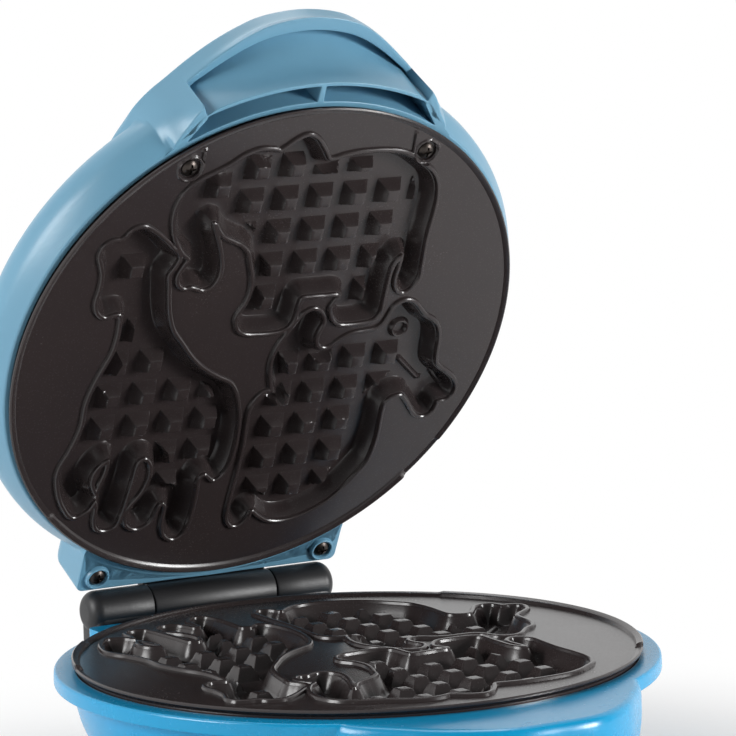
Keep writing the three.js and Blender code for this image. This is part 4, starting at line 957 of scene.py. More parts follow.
# Satin ABS, moulded in a lightly textured mould: a calm blue with soft, wide highlights.
LID_PLASTIC = Finish("satin_abs_lid", "6394AE", "6C9DB6", 0.36, grain_mm=1.6, grain_height_mm=0.0025)
# Gloss ABS from a polished mould: a clear blue whose highlights have edges.
BASE_PLASTIC = Finish("gloss_abs_base", "0093C6", "0499CB", 0.26, grain_mm=3.0, grain_height_mm=0.001)
COATING = NonStickCoating("ptfe_coated_casting", "2C2728", "332B2A", 0.25, grain_mm=0.7, grain_height_mm=0.008,
                         ior=1.5)
# Nylon with spark-eroded texture: black that greys where light grazes it.
HINGE_PLASTIC = Finish("sparked_black_nylon", "161618", "1E1E20", 0.46, grain_mm=0.8, grain_height_mm=0.03)
# Blackened steel, oiled: dark, with a brown cast and fine scratches one way.
SCREW_STEEL = Finish("blackened_steel", "4A4440", "3A3634", 0.36, metallic=1.0, grain_mm=0.5,
                     grain_height_mm=0.004, stretch=(1.0, 5.0, 1.0), drift_mm=6.0)
# Steel sheath of a heating rod: heat has tinted it straw and slate.
HEATER_STEEL = Finish("heat_tinted_sheath_steel", "8F8678", "5D6273", 0.42, metallic=1.0, drift_mm=18.0)
# Rolled aluminium sheet: fine lines along the rolling direction.
SHEET = Finish("rolled_aluminium_sheet", "C6C8CB", "B4B6B9", 0.36, metallic=1.0, grain_mm=0.7,
               stretch=(0.08, 1.0, 1.0))
# Steatite: fired, cream and dry to the eye.
CERAMIC = Finish("fired_steatite", "DCD5C3", "CFC6B1", 0.62, grain_mm=0.6, grain_height_mm=0.02)
# Moulded rubber: dull black, a little dusty.
RUBBER = Finish("moulded_rubber", "1B1B1B", "262625", 0.78, grain_mm=0.9, grain_height_mm=0.04)
RED_LENS = ClearPlastic("red_polycarbonate", "B4231B", "C6362B", 0.14, ior=1.58)
GREEN_LENS = ClearPlastic("green_polycarbonate", "2E9A4A", "3BAA59", 0.14, ior=1.58)
LAMP_GLASS = ClearPlastic("lamp_glass", "F0E6DC", "E8DDD0", 0.06, transmission=0.9)

FINISHES = {
    "lid_blue": LID_PLASTIC, "base_blue": BASE_PLASTIC, "non_stick": COATING, "heater_steel": HEATER_STEEL,
    "screw_steel": SCREW_STEEL, "aluminium": SHEET, "insulator": CERAMIC, "black_plastic": HINGE_PLASTIC,
    "rubber": RUBBER, "red_lens": RED_LENS, "green_lens": GREEN_LENS, "lamp_glass": LAMP_GLASS,
}
SLOTS = {part["node"]: part["material_slot"] for part in frame["record"]["subparts"]}


def dress(piece: bpy.types.Object, slot: str) -> None:
    """Gives a piece the finish of a record slot as its only material."""
    piece.data.materials.clear()
    piece.data.materials.append(FINISHES[slot].material())


def dress_carried(nodes: Sequence[str]) -> None:
    """Gives CAD nodes that stay in view the finish of their record slot."""
    for name in nodes:
        dress(frame["nodes"][name], SLOTS[name])


def finish_mesh(name: str, mesh: bpy.types.Mesh, half: Half, nodes: Sequence[str], smooth_angle: float) -> None:
    """Makes a finished piece of a mesh that lies in the frame, in metres.

    Args:
        name: The piece's name.
        mesh: Its mesh.
        half: The half that it rides on.
        nodes: The CAD nodes that it stands for; the first one gives its finish.
        smooth_angle: Edges sharper than this stay sharp, in degrees.
    """
    mesh.shade_smooth()
    mesh.set_sharp_from_angle(angle=math.radians(smooth_angle))
    piece = link_object(name, mesh)
    dress(piece, SLOTS[nodes[0]])
    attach(piece, half.value)
    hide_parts(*nodes)
    log.info("%s: %d faces", name, len(mesh.polygons))


def finish_piece(name: str, draft: MeshDraft, half: Half, nodes: Sequence[str], smooth_angle: float = 35.0) -> None:
    """Makes a finished piece of a draft in closed-lid millimetres, as finish_mesh does of a mesh.

    Args:
        name: The piece's name.
        draft: Its mesh, as x, y and depth.
        half: The half that it moves with.
        nodes: The solids that it stands for.
        smooth_angle: Edges sharper than this stay sharp, in degrees.
    """
    points = POSE.place(np.vstack(draft.points), half) * MM
    inside_out = enclosed_volume(points, draft.faces) < 0
    mesh = bpy.data.meshes.new(name)
    mesh.from_pydata(points.tolist(), [], [face[::-1] for face in draft.faces] if inside_out else draft.faces)
    mesh.validate()
    finish_mesh(name, mesh, half, nodes, smooth_angle)


@dataclass
class CastPlates:
    """The two non-stick castings."""

    lines: FaceLines = FaceLines()

    def build(self) -> None:
        """Builds and dresses both plates in place of their CAD nodes."""
        face = self.lines.triangles()
        for half, lip, node in ((Half.LID, UPPER_LIP, "upper_plate"), (Half.BASE, LOWER_LIP, "lower_plate")):
            finish_piece(node + "_casting", plate_mesh(half, lip, face), half, [node], 28.0)


def round_corners(paths: Points, reach: Points, steps: int = 4) -> Points:
    """Rounds the inner corners of many polylines at once.

    Args:
        paths: One polyline per row: an array of paths, corners and x, y, depth.
        reach: How far from each corner its rounding starts, at most half of the way to the next corner.
        steps: Segments in each rounding.

    Returns:
        The rounded polylines, all with the same number of points.
    """
    here = paths[:, 1:-1]
    back, ahead = paths[:, :-2] - here, paths[:, 2:] - here
    back_length = np.linalg.norm(back, axis=2, keepdims=True) + 1e-9
    ahead_length = np.linalg.norm(ahead, axis=2, keepdims=True) + 1e-9
    cut = np.minimum(np.broadcast_to(reach, paths.shape[:2])[:, 1:-1, None],
                     0.49 * np.minimum(back_length, ahead_length))
    start, end = here + back / back_length * cut, here + ahead / ahead_length * cut
    t = np.linspace(0, 1, steps + 1)[None, None, :, None]
    arcs = (1 - t) ** 2 * start[:, :, None] + 2 * t * (1 - t) * here[:, :, None] + t**2 * end[:, :, None]
    arcs = arcs.reshape(len(paths), -1, 3)
    return np.concatenate([paths[:, :1], arcs, paths[:, -1:]], axis=1)


def sections_draft(sections: Points, poles: bool) -> MeshDraft:
    """Skins a ring of sections.

    Args:
        sections: An array of sections, points and x, y, depth; the last section joins the first.
        poles: Whether all sections share their first and their last point; otherwise each section is a loop.

    Returns:
        The closed mesh.
    """
    draft = MeshDraft()
    count, rows = sections.shape[:2]
    if poles:
        first = draft.add(sections[:1, 0])
        body = draft.add(sections[:, 1:-1].reshape(-1, 3))
        last = draft.add(sections[:1, -1])
        rows -= 2
    else:
        body = draft.add(sections.reshape(-1, 3))
    index = body + np.arange(count * rows).reshape(count, rows)
    following = np.roll(index, -1, axis=0)
    a, b = index, following
    if not poles:
        a, b = np.hstack([a, a[:, :1]]), np.hstack([b, b[:, :1]])
    quads = np.stack([a[:, :-1], b[:, :-1], b[:, 1:], a[:, 1:]], -1).reshape(-1, 4)
    draft.faces.extend(map(tuple, quads.tolist()))
    if poles:
        draft.faces.extend((first, int(j), int(i)) for i, j in zip(index[:, 0], following[:, 0]))
        draft.faces.extend((int(i), int(j), last) for i, j in zip(index[:, -1], following[:, -1]))
    return draft


def turned(profile: Sequence[Pair], count: int = 64) -> Points:
    """Sections of a body of revolution.

    Args:
        profile: Radius and distance along the axis, from one end of the axis to the other.
        count: Sections round the axis.

    Returns:
        One section per turn, as rows of two distances across the axis and one along it.
    """
    turns = np.linspace(0, 2 * math.pi, count, endpoint=False)
    radius, along = np.array(profile, float).T
    return np.array([np.column_stack([radius * math.cos(t), radius * math.sin(t), along]) for t in turns])


def polar_reach(loop: Points, angles: Points) -> Points:
    """How far a loop round the centre reaches at each angle.

    Args:
        loop: Rows of x and y.
        angles: Angles in radians from -Y towards +X.

    Returns:
        One radius per angle.
    """
    turn = np.arctan2(loop[:, 0], -loop[:, 1])
    order = np.argsort(turn)
    return np.interp(angles, turn[order], np.linalg.norm(loop, axis=1)[order], period=2 * math.pi)


def smooth_step(value: Points) -> Points:
    """Zero below zero, one above one, and a soft ramp between."""
    t = np.clip(value, 0, 1)
    return t * t * (3 - 2 * t)


# The lid's nose from above: its top edge, its lower edge and outer lip, and the lip's inner edge.
NOSE_TOP_SHARES = ((0, -1.18), (0.154, -1.159), (0.24, -1.12), (0.315, -1.073), (0.389, -1.014), (0.47, -0.937),
                   (0.507, -0.902), (0.55, -0.847), (0.58, -0.79), (0.615, -0.71), (0.63, -0.62))
NOSE_EDGE_SHARES = ((0, -1.2), (0.13, -1.183), (0.215, -1.15), (0.303, -1.09), (0.373, -1.03), (0.45, -0.955),
                    (0.49, -0.88), (0.514, -0.84), (0.53, -0.78), (0.53, -0.6))
NOSE_LIP_SHARES = ((0, -1.183), (0.122, -1.165), (0.202, -1.134), (0.289, -1.077), (0.358, -1.02),
                   (0.409, -0.965), (0.423, -0.945), (0.45, -0.88))
BASE_NOSE_SHARES = ((0, -1.22), (0.16, -1.21), (0.3, -1.13), (0.4, -1.03), (0.545, -0.81), (0.46, -0.5))
# Degrees from the handle within which the nose's top edge, or its lower edge, stands out; and where the tail does.
NOSE_SIDE, NOSE_EDGE_SIDE, TAIL_SIDE = 60, 44, 120
# More than any corner has room for, so that round_corners gives it all the room there is.
ROUND = 30.0
# x and y of the right one of the lid's two tail screws, in millimetres.
TAIL_SCREW = (45.1, 94.1)
# A pocket's end wall: how far along it, as a share of its width, and how deep, as a share of the pocket.
WALL_STEPS = ((0.0, 0.0), (0.15, 0.004), (0.27, 0.016), (0.34, 0.045), (0.62, 0.93), (0.72, 0.975),
              (0.85, 0.995), (1.0, 1.0))


def nose_loop(shares: Sequence[Pair]) -> Points:
    """A handle nose's smooth plan from the shares of its right half, counter-clockwise and open at the plate.

    Args:
        shares: x and y of the right half, as shares of the drawing's radius.

    Returns:
        Rows of x and y, in mm.
    """
    right = [(x * PLATE.drawing, y * PLATE.drawing) for x, y in shares]
    left = [(-x, y) for x, y in reversed(right[1:])]
    loop = smooth_loop(right + left, 24)
    end = 24 * (len(right) - 1)
    return np.vstack([loop[end + 24:], loop[:end + 1]])


def square_loop(half_width: float, back: float, corner: float) -> Points:
    """A square-cornered plan behind the hinge line, counter-clockwise, with small rounded corners.

    Args:
        half_width: From the middle to either side, in mm.
        back: How far it reaches backwards, in mm.
        corner: Radius of its corners, in mm.

    Returns:
        Rows of x and y, in mm.
    """
    turns = np.linspace(0, math.pi / 2, 7)
    arc = np.column_stack([np.cos(turns), np.sin(turns)]) * corner + (half_width - corner, back - corner)
    side = np.column_stack([np.full(40, half_width), np.linspace(0.01, back - corner - 0.2, 40)])
    rear = np.column_stack([np.linspace(half_width - corner - 0.2, 0.5, 60), np.full(60, back)])
    right = np.vstack([side, arc, rear])
    return np.vstack([right, right[::-1] * (-1, 1)])


def tail_reach(degrees: Points, half_width: float, back: float, corner: float = 2.5) -> Points:
    """How far the square tail reaches at each angle from the handle, and zero where there is none."""
    reach = polar_reach(square_loop(half_width, back, corner), np.radians(degrees))
    return np.where(np.abs(degrees) > TAIL_SIDE, reach, 0)


def spread_angles(marks: Sequence[float], coarse: float, width: float, fine: float) -> Points:
    """Angles in degrees from 0 to 180, close together near marks.

    Args:
        marks: Where the outline turns quickly.
        coarse: The step away from marks.
        width: How far from a mark the steps stay fine.
        fine: The step near marks.

    Returns:
        The angles in order.
    """
    angles = list(np.arange(0, 180 + coarse / 2, coarse))
    for mark in marks:
        angles = [a for a in angles if abs(a - mark) > width] + list(np.arange(mark - width, mark + width, fine))
    return np.array(sorted({round(float(np.clip(a, 0, 180)), 3) for a in angles}))


def polar_paths(radii: Points, depths: Points, turns: Points) -> Points:
    """Turns radii and depths round the plate's centre into places.

    Args:
        radii: One row per place along a section, one column per section.
        depths: The depths, in the same order.
        turns: The sections' directions in radians from -Y towards +X, in rows or as one row for all.

    Returns:
        One section after another, as rows of x, y and depth.
    """
    return np.stack([radii * np.sin(turns), -radii * np.cos(turns), depths], -1).transpose(1, 0, 2)


@dataclass
class Shell:
    """What both mouldings share: the rim's depth and inner radius, and the tail's half-width."""

    rim: float = 3.6
    ring_in: float = 94.3
    tail_half: float = 52.0


@dataclass
class LidShell(Shell):
    """The lid's moulding: rim, pockets, fence, finger recess, lip, outer wall, tail and dome.

    Radii are from the plate's centre, and rim, pocket, recess, lip, nose_top and tail_top are depths. The ends of
    pockets, ring and nose, and the haunch where the nose meets the round wall, are angles in degrees from the handle.
    Each rounding says how far from a section's corner its round starts.
    """

    ring_out: float = 96.4
    fence: float = 103.0
    fence_half: float = 0.7
    rib_half: float = 0.7
    pocket: float = 23.0
    pocket_end: float = 24.3
    ring_end: float = 29.4
    ring_even: float = 38.0
    recess: float = 27.5
    scoop: float = 0.42
    lip: float = 19.0
    end_wall: float = 0.75
    marks: tuple[float, ...] = (32.6, 43.0, 148.0, 152.3)
    plain_edge: tuple[Pair, ...] = ((95.9, 3.6), (96.4, 3.6), (96.95, 4.7))
    flat_from: float = 97.0
    # radius and depth of the round wall, where the nose's face lies between lower edge and top edge, and its depth
    wall: tuple[tuple[float, float, float, float], ...] = (
        (98.9, 8.2, 0.62, 21.0), (100.6, 12.0, 0.93, 22.3), (100.8, 16.8, 1.0, 23.6), (100.0, 20.2, 1.0, 24.8),
        (98.0, 23.6, 1.0, 26.0))
    crown: Pair = (92.0, 26.2)
    dome: tuple[Pair, ...] = ((80.0, 27.35), (66.0, 28.2), (50.0, 28.9), (32.0, 29.35), (14.0, 29.58), (0.0, 29.6))
    inside: tuple[Pair, ...] = ((0.0, 27.2), (40.0, 26.8), (70.0, 25.4), (88.0, 23.4), (94.3, 18.0))
    nose_top: float = 31.0
    nose_rounding: float = 3.0
    nose_end: float = 41.0
    nose_fade: float = 3.5
    nose_foot: Pair = (98.0, 27.0)
    haunch: Pair = (32.5, 43.0)
    haunch_rounding: float = 0.8
    under_rounding: tuple[float, ...] = (2.0, 0.45, 0.45, 0.8, 0.8, 0.35, 0.35, 5.0, 3.0, 0.5, 0.8)
    nose_top_rounding: tuple[float, ...] = (0.6, 2.2, 2.2)
    tail_back: float = 100.0
    tail_top: float = 24.0
    tail_rounding: float = 3.0
    floor_shares: tuple[float, ...] = (0.0, 0.08, 0.5, 0.55, 0.62, 0.66, 0.74, 0.78)
    screw_ring: tuple[Pair, ...] = (
        (3.4, 4.0), (3.4, 2.7), (3.6, 2.3), (4.0, 2.15), (4.3, 2.3), (4.55, 2.8), (4.7, 4.0))

    def stations(self) -> tuple[Points, Points, Points]:
        """Where sections stand round the shell.

        Returns:
            The angle of each section in degrees, how deep the pockets are there and how deep the recess is,
            both from 0 to 1.
        """
        rib = math.degrees(self.rib_half / self.fence)
        wall = [(at * self.end_wall, deep) for at, deep in WALL_STEPS]
        angles = spread_angles(self.marks, 0.8, 2.2, 0.2)
        within = (angles > rib + self.end_wall) & (angles < self.pocket_end - self.end_wall)
        angles = angles[within | (angles > self.pocket_end)]
        rows = [(0.0, 0.0, 1.0), (rib * 0.6, 0.0, 1.0)]
        rows += [(rib + at, deep, 1.0) for at, deep in wall]
        rows += [(self.pocket_end - at, deep, deep) for at, deep in wall]
        rows += [(a, 1.0, 1.0) if a < self.pocket_end else (a, 0.0, 0.0) for a in angles]
        right = np.array(sorted(rows))
        left = right[::-1][(right[::-1, 0] > 0) & (right[::-1, 0] < 180)] * (-1, 1, 1)
        both = np.vstack([right, left])
        return both[:, 0], both[:, 1], both[:, 2]

    def underside(self, turn: Points, pocket: Points, recess: Points, edge: Points) -> tuple[Points, Points]:
        """Radii and depths from the ring to the lower outer edge, through pockets, fence, recess and lip.

        Args:
            turn: Direction of each station, in radians.
            pocket: How deep the pockets are there, 0 to 1.
            recess: How deep the recess is there, 0 to 1.
            edge: How far the nose's or the tail's lower edge reaches, in mm, 0 beside them.

        Returns:
            Radii and depths, one row per station.
        """
        lip_in = polar_reach(nose_loop(NOSE_LIP_SHARES), turn)
        flat = smooth_step((edge - self.flat_from) / 1.2)
        share = np.array(self.floor_shares + (1.0,))[:, None]
        weights = ((1 - share) ** 2, 2 * share * (1 - share), share**2)
        plain_r, plain_h = (sum(w * value for w, value in zip(weights, line)) for line in zip(*self.plain_edge))
        edge = np.maximum(edge, self.flat_from)
        wanted = np.array([
            np.full_like(turn, self.ring_out), np.full_like(turn, self.ring_out + 0.25),
            np.full_like(turn, self.fence - self.fence_half - 0.15), np.full_like(turn, self.fence - self.fence_half),
            np.full_like(turn, self.fence + self.fence_half), np.full_like(turn, self.fence + self.fence_half + 0.5),
            lip_in - 0.4, lip_in, edge])
        flat_r = np.minimum(wanted, self.ring_out + (edge - self.ring_out) * share)
        flat_r[0] = self.ring_out
        deep_p, deep_r, deep_l = self.pocket - self.rim, self.recess - self.rim, self.lip - self.rim
        flat_h = self.rim + np.array([
            0 * pocket, deep_p * pocket, deep_p * pocket, 0 * pocket, 0 * pocket, self.scoop * deep_r * recess,
            deep_r * recess, deep_l * recess, deep_l * recess])
        return plain_r * (1 - flat) + flat_r * flat, plain_h * (1 - flat) + flat_h * flat

    def outside(self, degrees: Points, recess: Points, edge: Points) -> tuple[list[Points], list[Points]]:
        """Radii and depths from the lower outer edge over wall, nose, tail and dome to the middle.

        Args:
            degrees: Direction of each station, in degrees.
            recess: How deep the recess is there, 0 to 1.
            edge: How far the nose's lower edge reaches, in mm, 0 beside it.

        Returns:
            Radii and depths, each a list of values per station.
        """
        turn = np.radians(degrees)
        one = np.ones_like(turn)
        near = np.abs(degrees) < NOSE_SIDE
        top = np.where(near, polar_reach(nose_loop(NOSE_TOP_SHARES), turn), 0)
        tail = tail_reach(degrees, self.tail_half, self.tail_back)
        stands = 1 - smooth_step((np.abs(degrees) - self.nose_end) / self.nose_fade)
        on_tail = smooth_step((tail - self.wall[2][0]) / 2.5)
        radii, depths = [], []
        for row, (radius, depth, share, raised) in enumerate(self.wall):
            face = np.where(near, edge + (top - edge) * share, 0)
            shrunk = tail - (self.tail_rounding if row == 4 else 0)
            radii.append(soft_max(soft_max(radius * one, face, 0.15), shrunk, 1.0))
            behind = (self.tail_top if row == 4 else self.tail_top - self.tail_rounding) if row > 2 else depth
            depths.append(depth + (raised - depth) * recess + (behind - depth) * on_tail)
        slope_r, slope_h = np.array([self.wall[4][:2], (94.0, 25.3), self.crown, *self.dome[:3]])[::-1].T
        foot_r, foot_top = self.nose_foot
        foot = np.minimum(top + 0.4, foot_r)
        foot_h = np.interp(foot, slope_r, slope_h)
        foot_h = foot_h + (foot_top - foot_h) * smooth_step((top - foot_r) / 2.5)
        foot = np.where(top > foot_r, np.maximum(top, foot_r + 0.2), foot)
        nose = ((foot, foot_h), (top, one * (self.nose_top - self.nose_rounding)),
                (top - self.nose_rounding, one * self.nose_top))
        for (radius, depth), at in zip(nose, (96.5, 95.0, 93.5)):
            plain = np.interp(at, slope_r, slope_h)
            plain = plain + (self.tail_top + 0.6 - plain) * on_tail * 0.5
            radii.append(at + (radius - at) * stands)
            depths.append(plain + (depth - plain) * stands)
        for radius, depth in (self.crown, *self.dome):
            fade = 1 - smooth_step(
                (np.abs(degrees) - self.nose_end) / (self.nose_fade + (self.crown[0] - radius) * 0.4))
            raised = max(depth, float(np.interp(radius, (60.0, self.crown[0]), (28.45, self.nose_top - 0.2))))
            limit = (top - self.nose_rounding - 1.0) * min(1.0, radius / 88.0)
            inwards = np.where(near, np.minimum(radius, limit), radius)
            radii.append(radius + (inwards - radius) * stands)
            depths.append(depth + (raised - depth) * fade)
        return radii, depths

    def sections(self) -> Points:
        """The shell's rounded sections.

        Returns:
            One section per station, as rows of x, y and depth.
        """
        degrees, pocket, recess = self.stations()
        turn = np.radians(degrees)
        ring_turn = np.radians(np.sign(degrees) * np.interp(
            np.abs(degrees), (0, self.pocket_end, self.ring_even, 180.0), (0, self.ring_end, self.ring_even, 180.0)))
        edge = np.where(np.abs(degrees) > NOSE_EDGE_SIDE, 0, polar_reach(nose_loop(NOSE_EDGE_SHARES), turn))
        behind = tail_reach(degrees, self.tail_half, self.tail_back)
        radius, depth = self.underside(turn, pocket, recess, np.maximum(edge, behind))
        outer_r, outer_h = self.outside(degrees, recess, edge)
        one = np.ones_like(turn)
        inner = [(r * one, h * one) for r, h in self.inside] + [
            (self.ring_in * one, 10.0 * one), (self.ring_in * one, self.rim * one)]
        radii = np.array([r for r, _ in inner] + list(radius) + outer_r)
        depths = np.array([h for _, h in inner] + list(depth) + outer_h)
        turns = np.array([ring_turn] * (len(inner) + 2) + [turn] * (len(radii) - len(inner) - 2))
        paths = polar_paths(radii, depths, turns)
        corner = np.tile(np.concatenate([
            [ROUND] * len(self.inside), self.under_rounding, [ROUND] * len(self.wall), self.nose_top_rounding,
            [ROUND] * (1 + len(self.dome))]), (len(paths), 1))
        haunch = len(self.inside) + len(self.under_rounding) + 4
        start, end = self.haunch
        corner[(np.abs(degrees) > start) & (np.abs(degrees) < end), haunch] = self.haunch_rounding
        return round_corners(paths, corner, 4)

    def build(self) -> None:
        """Builds and dresses the lid's moulding."""
        draft = sections_draft(self.sections(), True)
        for side in (-1, 1):
            ring = turned(self.screw_ring, 40)
            draft.add_closed(sections_draft(ring + (side * TAIL_SCREW[0], TAIL_SCREW[1], 0), False))
        finish_piece("lid_moulding", draft, Half.LID, ["lid_shell"], 27.0)


# Depth of the cord gland's middle, in millimetres.
GLAND_DEPTH = 35.5


@dataclass
class BaseShell(Shell):
    """The base's moulding: flange, bowl, nose and the bracket for the hinge."""

    tail_back: float = 99.0
    tail_edge: float = 0.8
    marks: tuple[float, ...] = (31.5, 35.5, 39.5, 148.0, 152.3)
    bracket: float = 26.0
    # depth, radius of flange and bowl, how far the nose stands out, whether the bracket is there, rounding
    levels: tuple[tuple[float, float, float, bool, float], ...] = (
        (3.6, 99.9, -1.0, True, 0.9), (3.6, 100.9, 0.0, True, 0.9), (4.2, 101.4, 1.5, True, ROUND),
        (6.0, 101.5, 2.3, True, ROUND), (8.0, 101.5, 2.4, True, ROUND), (8.5, 101.3, 2.4, True, 0.5),
        (8.8, 96.0, 2.4, True, 0.5), (9.6, 95.0, 2.4, True, 0.5), (15.0, 94.5, 2.4, True, ROUND),
        (21.0, 92.9, 1.6, True, ROUND), (24.9, 91.2, 0.9, True, ROUND), (26.0, 90.8, 0.7, True, 0.3),
        (26.2, 90.7, 0.6, False, 0.3), (28.0, 89.8, 0.2, False, ROUND), (32.0, 87.5, -0.5, False, ROUND),
        (40.0, 82.0, -3.8, False, ROUND), (47.0, 76.9, -7.4, False, ROUND), (49.4, 75.2, -8.8, False, ROUND),
        (50.0, 74.2, -9.8, False, 0.8),
    )
    # radius, depth, rounding
    inside: tuple[tuple[float, float, float], ...] = (
        (73.9, 50.0, 0.3), (73.9, 45.0, 0.6), (84.6, 32.0, 4.0), (90.0, 21.0, 4.0), (91.0, 12.0, 2.0),
        (91.5, 6.7, 0.4), (94.3, 6.5, 0.4))
    ring_rounding: float = 0.45

    def sections(self) -> Points:
        """The moulding's rounded sections.

        Returns:
            One closed loop per station, as rows of x, y and depth.
        """
        right = spread_angles(self.marks, 0.8, 2.2, 0.25)
        degrees = np.concatenate([right, -right[::-1][(right[::-1] > 0) & (right[::-1] < 180)]])
        turn = np.radians(degrees)
        loop = nose_loop(BASE_NOSE_SHARES)
        tail = tail_reach(degrees, self.tail_half, self.tail_back)
        behind = np.abs(degrees) > TAIL_SIDE
        wide = behind & (np.abs(tail * np.sin(turn)) < self.tail_half - 0.01)
        rows = []
        for depth, radius, out, bracket, _ in self.levels:
            nose = np.where(np.abs(degrees) > NOSE_EDGE_SIDE, 0, polar_reach(offset_loop(loop, out), turn))
            reach = soft_max(np.full_like(turn, radius), nose, 0.8)
            if bracket:
                square = tail - self.tail_edge + min(self.tail_edge, (self.bracket - depth) * 0.8)
                reach = np.where(behind, np.maximum(reach, square), reach)
                reach = np.where(wide, square, reach)
            rows.append((reach, np.full_like(turn, depth)))
        rows += [(np.full_like(turn, r), np.full_like(turn, h)) for r, h, _ in self.inside]
        rows.append((np.full_like(turn, self.ring_in), np.full_like(turn, self.rim)))
        radii, depths = np.array([r for r, _ in rows]), np.array([h for _, h in rows])
        paths = polar_paths(radii, depths, turn)
        paths = np.concatenate([paths[:, -1:], paths, paths[:, :1]], axis=1)
        corner = [ROUND, *(row[-1] for row in self.levels + self.inside), self.ring_rounding, ROUND]
        return round_corners(paths, np.array([corner]), 4)[:, 1:-1]

    def gland_boss(self) -> MeshDraft:
        """The flat seat that the cord gland stands on."""
        rows = turned(((0.0, 80.0), (8.5, 80.0), (8.5, 92.4), (8.0, 92.9), (0.0, 92.9)), 48)
        return sections_draft(np.stack([rows[..., 0], rows[..., 2], rows[..., 1] + GLAND_DEPTH], -1), True)

    def build(self) -> None:
        """Builds and dresses the base's moulding."""
        draft = MeshDraft()
        for closed in (sections_draft(self.sections(), False), self.gland_boss()):
            draft.add_closed(closed)
        finish_piece("base_moulding", draft, Half.BASE, ["base_shell"], 40.0)


def prism(outline: Points, low: float, high: float, bevel: float) -> MeshDraft:
    """A plate with this outline in x and y between two depths, its edges rounded.

    Args:
        outline: Counter-clockwise rows of x and y.
        low: The lesser depth.
        high: The greater depth.
        bevel: The radius of the edges.

    Returns:
        The closed mesh.
    """
    draft = MeshDraft()
    turns = np.linspace(0, math.pi / 2, 5)
    rows = [(-bevel + bevel * math.sin(t), low + bevel - bevel * math.cos(t)) for t in turns]
    rows += [(-bevel + bevel * math.cos(t), high - bevel + bevel * math.sin(t)) for t in turns]
    count = len(outline)
    firsts = [draft.add(np.column_stack([offset_loop(outline, out), np.full(count, depth)])) for out, depth in rows]
    rings = [tuple(range(first, first + count)) for first in firsts]
    for low_ring, high_ring in zip(rings, rings[1:]):
        draft.faces.extend(zip(low_ring, low_ring[1:] + low_ring[:1], high_ring[1:] + high_ring[:1], high_ring))
    draft.faces += [rings[0][::-1], rings[-1]]
    return draft


def rounded_box(left: float, right: float, front: float, back: float, corner: float) -> Points:
    """A rectangle's outline with round corners, counter-clockwise.

    Args:
        left: Its least x, in mm.
        right: Its greatest x.
        front: Its least y.
        back: Its greatest y.
        corner: Radius of its corners.

    Returns:
        Rows of x and y.
    """
    turns = np.linspace(0, math.pi / 2, 7)
    corners = ((right - corner, back - corner, 0.0), (left + corner, back - corner, 0.5),
               (left + corner, front + corner, 1.0), (right - corner, front + corner, 1.5))
    return np.vstack([np.column_stack([np.cos(turns + quarter * math.pi), np.sin(turns + quarter * math.pi)]) * corner
                      + (x, y) for x, y, quarter in corners])


@dataclass
class Hinge:
    """The lid's knuckle with its leaf, and the two posts that stand on the base's bracket."""

    radius: float = 7.5
    bore: float = 2.8
    knuckle: float = 24.4
    post_start: float = 24.7
    post_end: float = 49.0
    dome: float = 4.6
    leg: tuple[float, float, float, float] = (25.3, 47.4, 99.6, 114.0)
    leg_bottom: float = 23.8
    leg_corner: float = 3.2
    leg_bevel: float = 0.9
    leaf: tuple[float, float, float] = (50.0, 97.0, 96.6)
    leaf_depths: Pair = (5.5, 9.0)
    leaf_bevel: float = 0.05

    def round_x(self, profile: Sequence[Pair], side: int = 1) -> MeshDraft:
        """A body of revolution about the hinge line.

        Args:
            profile: Radius and distance along the hinge line, in mm.
            side: 1 for the right side, -1 for the left.

        Returns:
            The body, as x, y and depth.
        """
        rows = turned(profile)
        placed = np.stack([rows[..., 2] * side, rows[..., 0] + POSE.setback, rows[..., 1]], -1)
        return sections_draft(placed, profile[0][0] == 0)

    def lid_part(self) -> MeshDraft:
        """The knuckle and the leaf inside the tail.

        Returns:
            Both bodies, as x, y and depth.
        """
        draft = MeshDraft()
        k, r = self.knuckle, self.radius
        ring = [(self.bore, -k), (r - 0.7, -k), (r - 0.2, -k + 0.2), (r, -k + 0.7), (r, k - 0.7), (r - 0.2, k - 0.2),
                (r - 0.7, k), (self.bore, k)]
        draft.add_closed(self.round_x(ring))
        half, back, ring_radius = self.leaf
        end = math.asin(half / ring_radius)
        turns = np.linspace(-end, end, 60)
        arc = np.column_stack([np.sin(turns), np.cos(turns)]) * ring_radius
        outline = np.vstack([arc, [(half, back), (k, back), (k, POSE.setback), (-k, POSE.setback), (-k, back),
                                   (-half, back)]])
        draft.add_closed(prism(counter_clockwise(outline), *self.leaf_depths, self.leaf_bevel))
        return draft

    def post(self, side: int) -> MeshDraft:
        """One post: a knuckle with a domed outer end and its leg.

        Args:
            side: 1 for the right post, -1 for the left.

        Returns:
            Both bodies, as x, y and depth.
        """
        draft = MeshDraft()
        r, start, end = self.radius, self.post_start, self.post_end
        turns = np.linspace(0, math.pi / 2, 14)
        round_end = [(r - self.dome + self.dome * math.cos(t), end - self.dome + self.dome * math.sin(t))
                     for t in turns]
        profile = [(0.0, start), (r - 0.7, start), (r - 0.2, start + 0.2), (r, start + 0.7), (r, 35.0), *round_end,
                   (0.0, end)]
        draft.add_closed(self.round_x(profile, side))
        left, right, front, back = self.leg
        edges = (left, right) if side > 0 else (-right, -left)
        plan = rounded_box(*edges, front, back, self.leg_corner)
        draft.add_closed(prism(plan, 0.0, self.leg_bottom, self.leg_bevel))
        return draft

    def build(self) -> None:
        """Builds and dresses the three pieces."""
        finish_piece("hinge_barrel_moulding", self.lid_part(), Half.LID, ["hinge_barrel"])
        for side, name in ((-1, "hinge_post_left"), (1, "hinge_post_right")):
            finish_piece(name + "_moulding", self.post(side), Half.BASE, [name])


